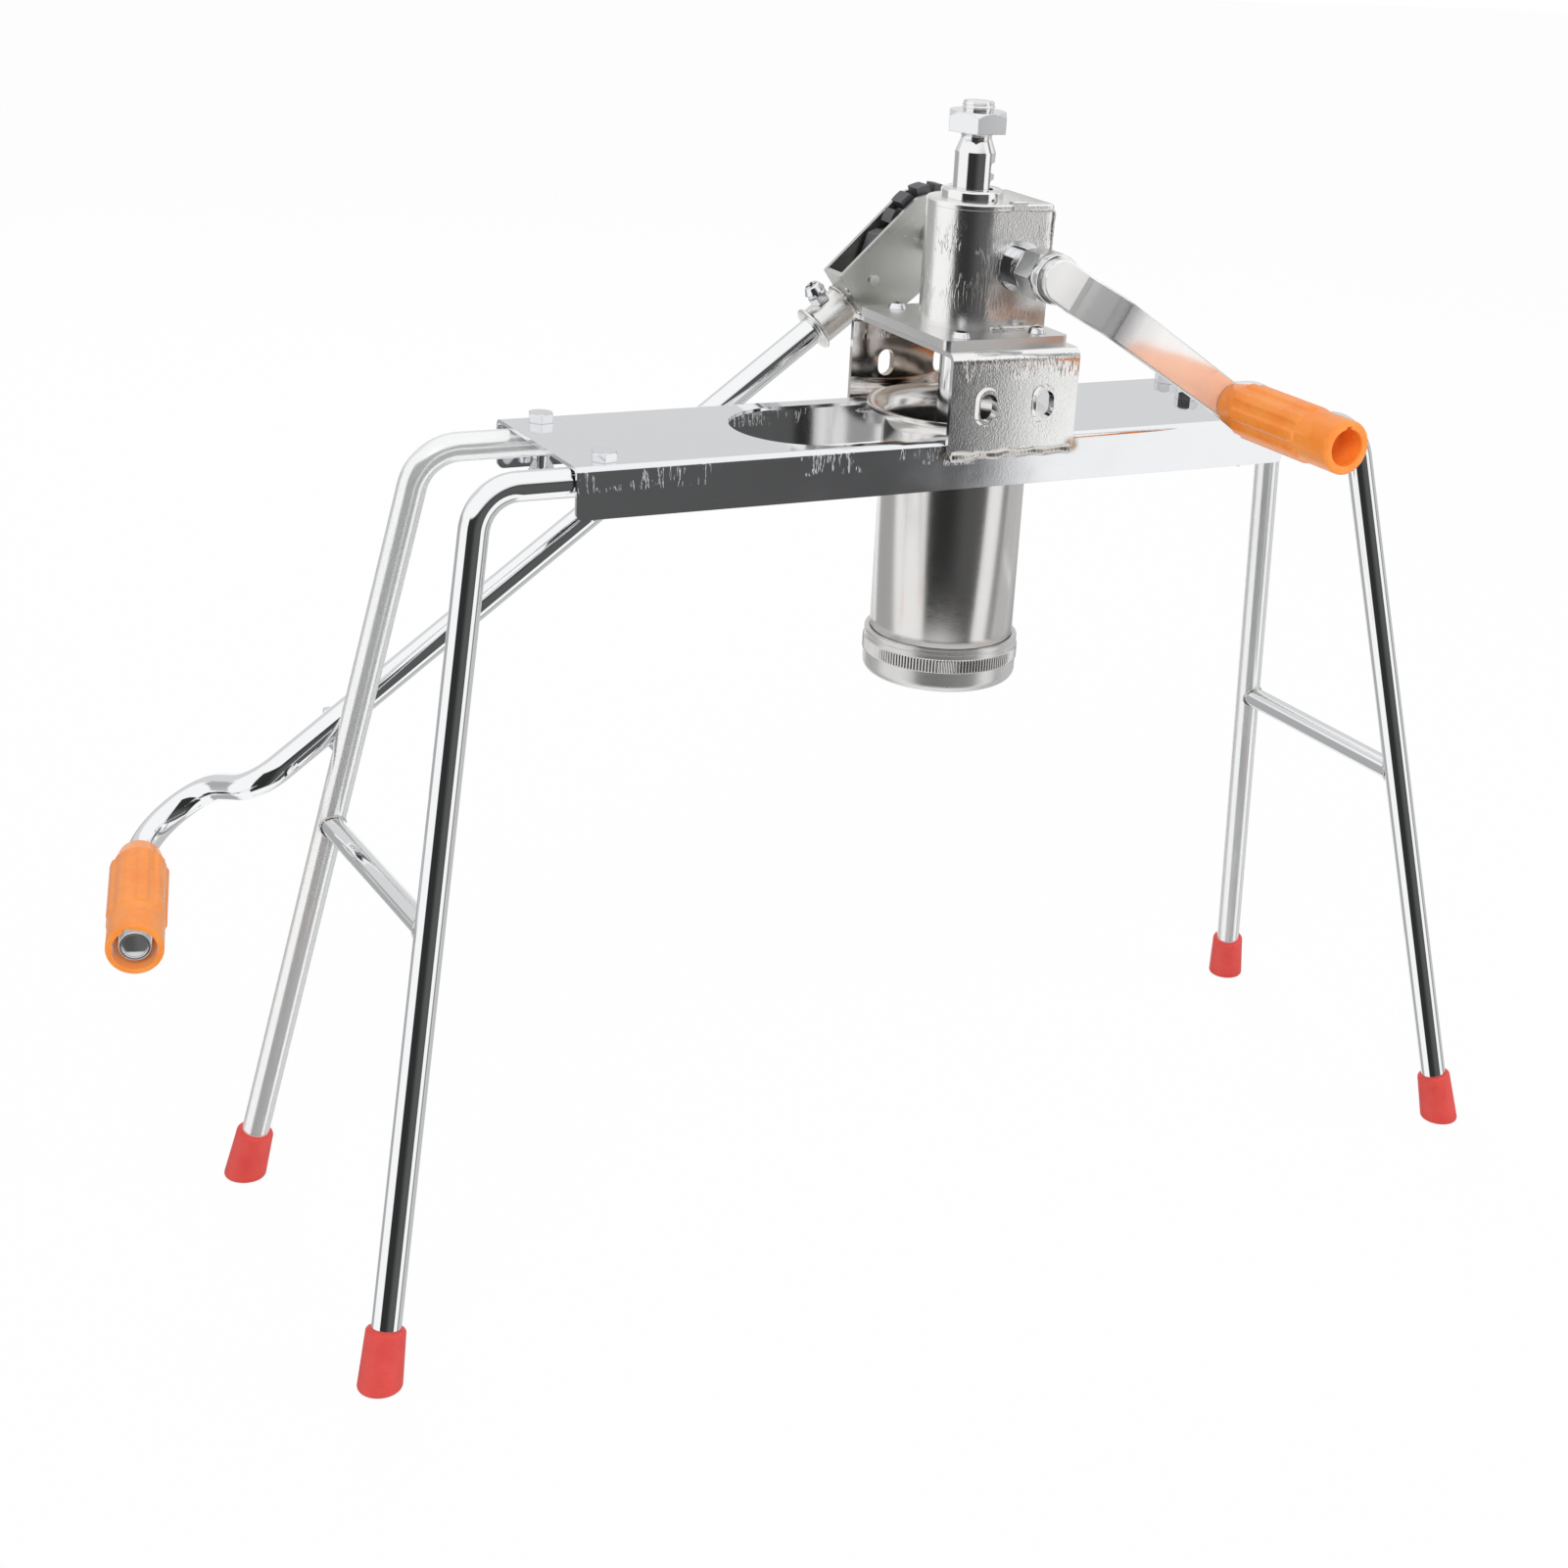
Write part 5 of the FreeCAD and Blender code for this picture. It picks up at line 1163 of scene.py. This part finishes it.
# name: azimuth from, to, height low, high, softness, grey
CARDS = {
    "front": (-68, 40, -55, 26, 4.0, 0.03),
    "front inner": (-14, 36, -50, 24, 34.0, 0.10),
    "bright right": (33.0, 66, -70, 50, 0.9, 0.99),
    "right": (62, 78, -60, 30, 6.0, 0.27),
    "right rear": (80, 148, -60, 8, 8.0, 0.55),
    "left rear": (-180, -130, -60, 10, 10.0, 0.42),
    "rear high": (95, 182, 8, 42, 8.0, 0.7),
    "rear high left": (-182, -140, 8, 42, 8.0, 0.7),
}
OPEN_GREY = 0.99
PLAIN_STRENGTH = 0.55


def reflected_grey(tree):
    """The grey that reflections see in each direction: open surroundings with the cards laid over them."""
    parts = put(tree, "SeparateXYZ", Vector=put(tree, "TexCoord").outputs["Generated"]).outputs
    front = maths(tree, "MULTIPLY", parts["Y"], -1.0)
    azimuth = maths(tree, "DEGREES", maths(tree, "ARCTAN2", parts["X"], front))
    height = maths(tree, "DEGREES", maths(tree, "ARCSINE", parts["Z"]))
    group = card_group()
    level = OPEN_GREY
    for low, high, bottom, top, soft, grey in CARDS.values():
        card = use_group(tree, group, Azimuth=azimuth, Height=height, From=low, To=high, Low=bottom,
                         High=top, Soft=soft)
        level = put(tree, "Mix", data_type="FLOAT", Factor=card["Card"], A=level, B=grey).outputs["Result"]
    return level


def studio_world():
    """Pale surroundings; only reflections see the darker cards that draw the bands on bright metal."""
    world = bpy.data.worlds.new("studio")
    bpy.context.scene.world = world
    world.use_nodes = True
    tree = world.node_tree
    tree.nodes.clear()
    cards = put(tree, "Background", Color=reflected_grey(tree)).outputs["Background"]
    plain = put(tree, "Background", Color=WHITE, Strength=PLAIN_STRENGTH).outputs["Background"]
    white = put(tree, "Background", Color=WHITE, Strength=1.0).outputs["Background"]
    rays = put(tree, "LightPath").outputs
    shine = mixed(tree, rays["Is Glossy Ray"], plain, cards)
    put(tree, "OutputWorld", Surface=mixed(tree, rays["Is Camera Ray"], shine, white))


def lamp(name, at, aim, size, power):
    """A round soft lamp that reflections don't see."""
    light = bpy.data.lights.new(name, "AREA")
    light.shape = "DISK"
    light.size = size
    light.energy = power
    made = add(name, light)
    made.location = at
    made.rotation_euler = (Vector(aim) - Vector(at)).to_track_quat("-Z", "Y").to_euler()
    made.visible_glossy = False


# The photograph's camera: where it stands, its turn, and its lens in pixels of a 1601 pixel frame
PHOTO_PIXELS = 1601.0
CAMERA_AT = Vector((-0.52542, -0.90762, 0.60918))
CAMERA_AZIMUTH = -0.56804
CAMERA_HEIGHT = 0.38892
CAMERA_ROLL = 0.07762
LENS_PIXELS = 2614.0
CENTRE_PIXEL = (975.1, 843.6)


def camera():
    """The camera that sees the machine as the photograph does."""
    made = add("camera", bpy.data.cameras.new("camera"))
    back = Vector((sin(CAMERA_AZIMUTH) * cos(CAMERA_HEIGHT),
                   -cos(CAMERA_AZIMUTH) * cos(CAMERA_HEIGHT), sin(CAMERA_HEIGHT)))
    right = Vector((cos(CAMERA_AZIMUTH), sin(CAMERA_AZIMUTH), 0))
    up = back.cross(right)
    turn = Matrix((right, up, back)).transposed() @ Matrix.Rotation(CAMERA_ROLL, 3, "Z")
    made.matrix_world = Matrix.Translation(CAMERA_AT) @ turn.to_4x4()
    lens = made.data
    lens.sensor_width = 36.0
    lens.lens = LENS_PIXELS / PHOTO_PIXELS * lens.sensor_width
    lens.shift_x = (PHOTO_PIXELS / 2 - CENTRE_PIXEL[0]) / PHOTO_PIXELS
    lens.shift_y = (CENTRE_PIXEL[1] - PHOTO_PIXELS / 2) / PHOTO_PIXELS
    lens.clip_start = 0.05
    bpy.context.scene.camera = made


floor()
studio_world()
lamp("key", (-1.2, -1.6, 1.9), (0, 0, 0.25), 1.4, 26)
lamp("fill", (1.7, -1.2, 1.2), (0, 0, 0.25), 1.6, 12)
lamp("rear", (0.4, 1.8, 1.6), (0, 0, 0.3), 1.4, 12)
camera()
bpy.context.scene.view_settings.view_transform = "Standard"
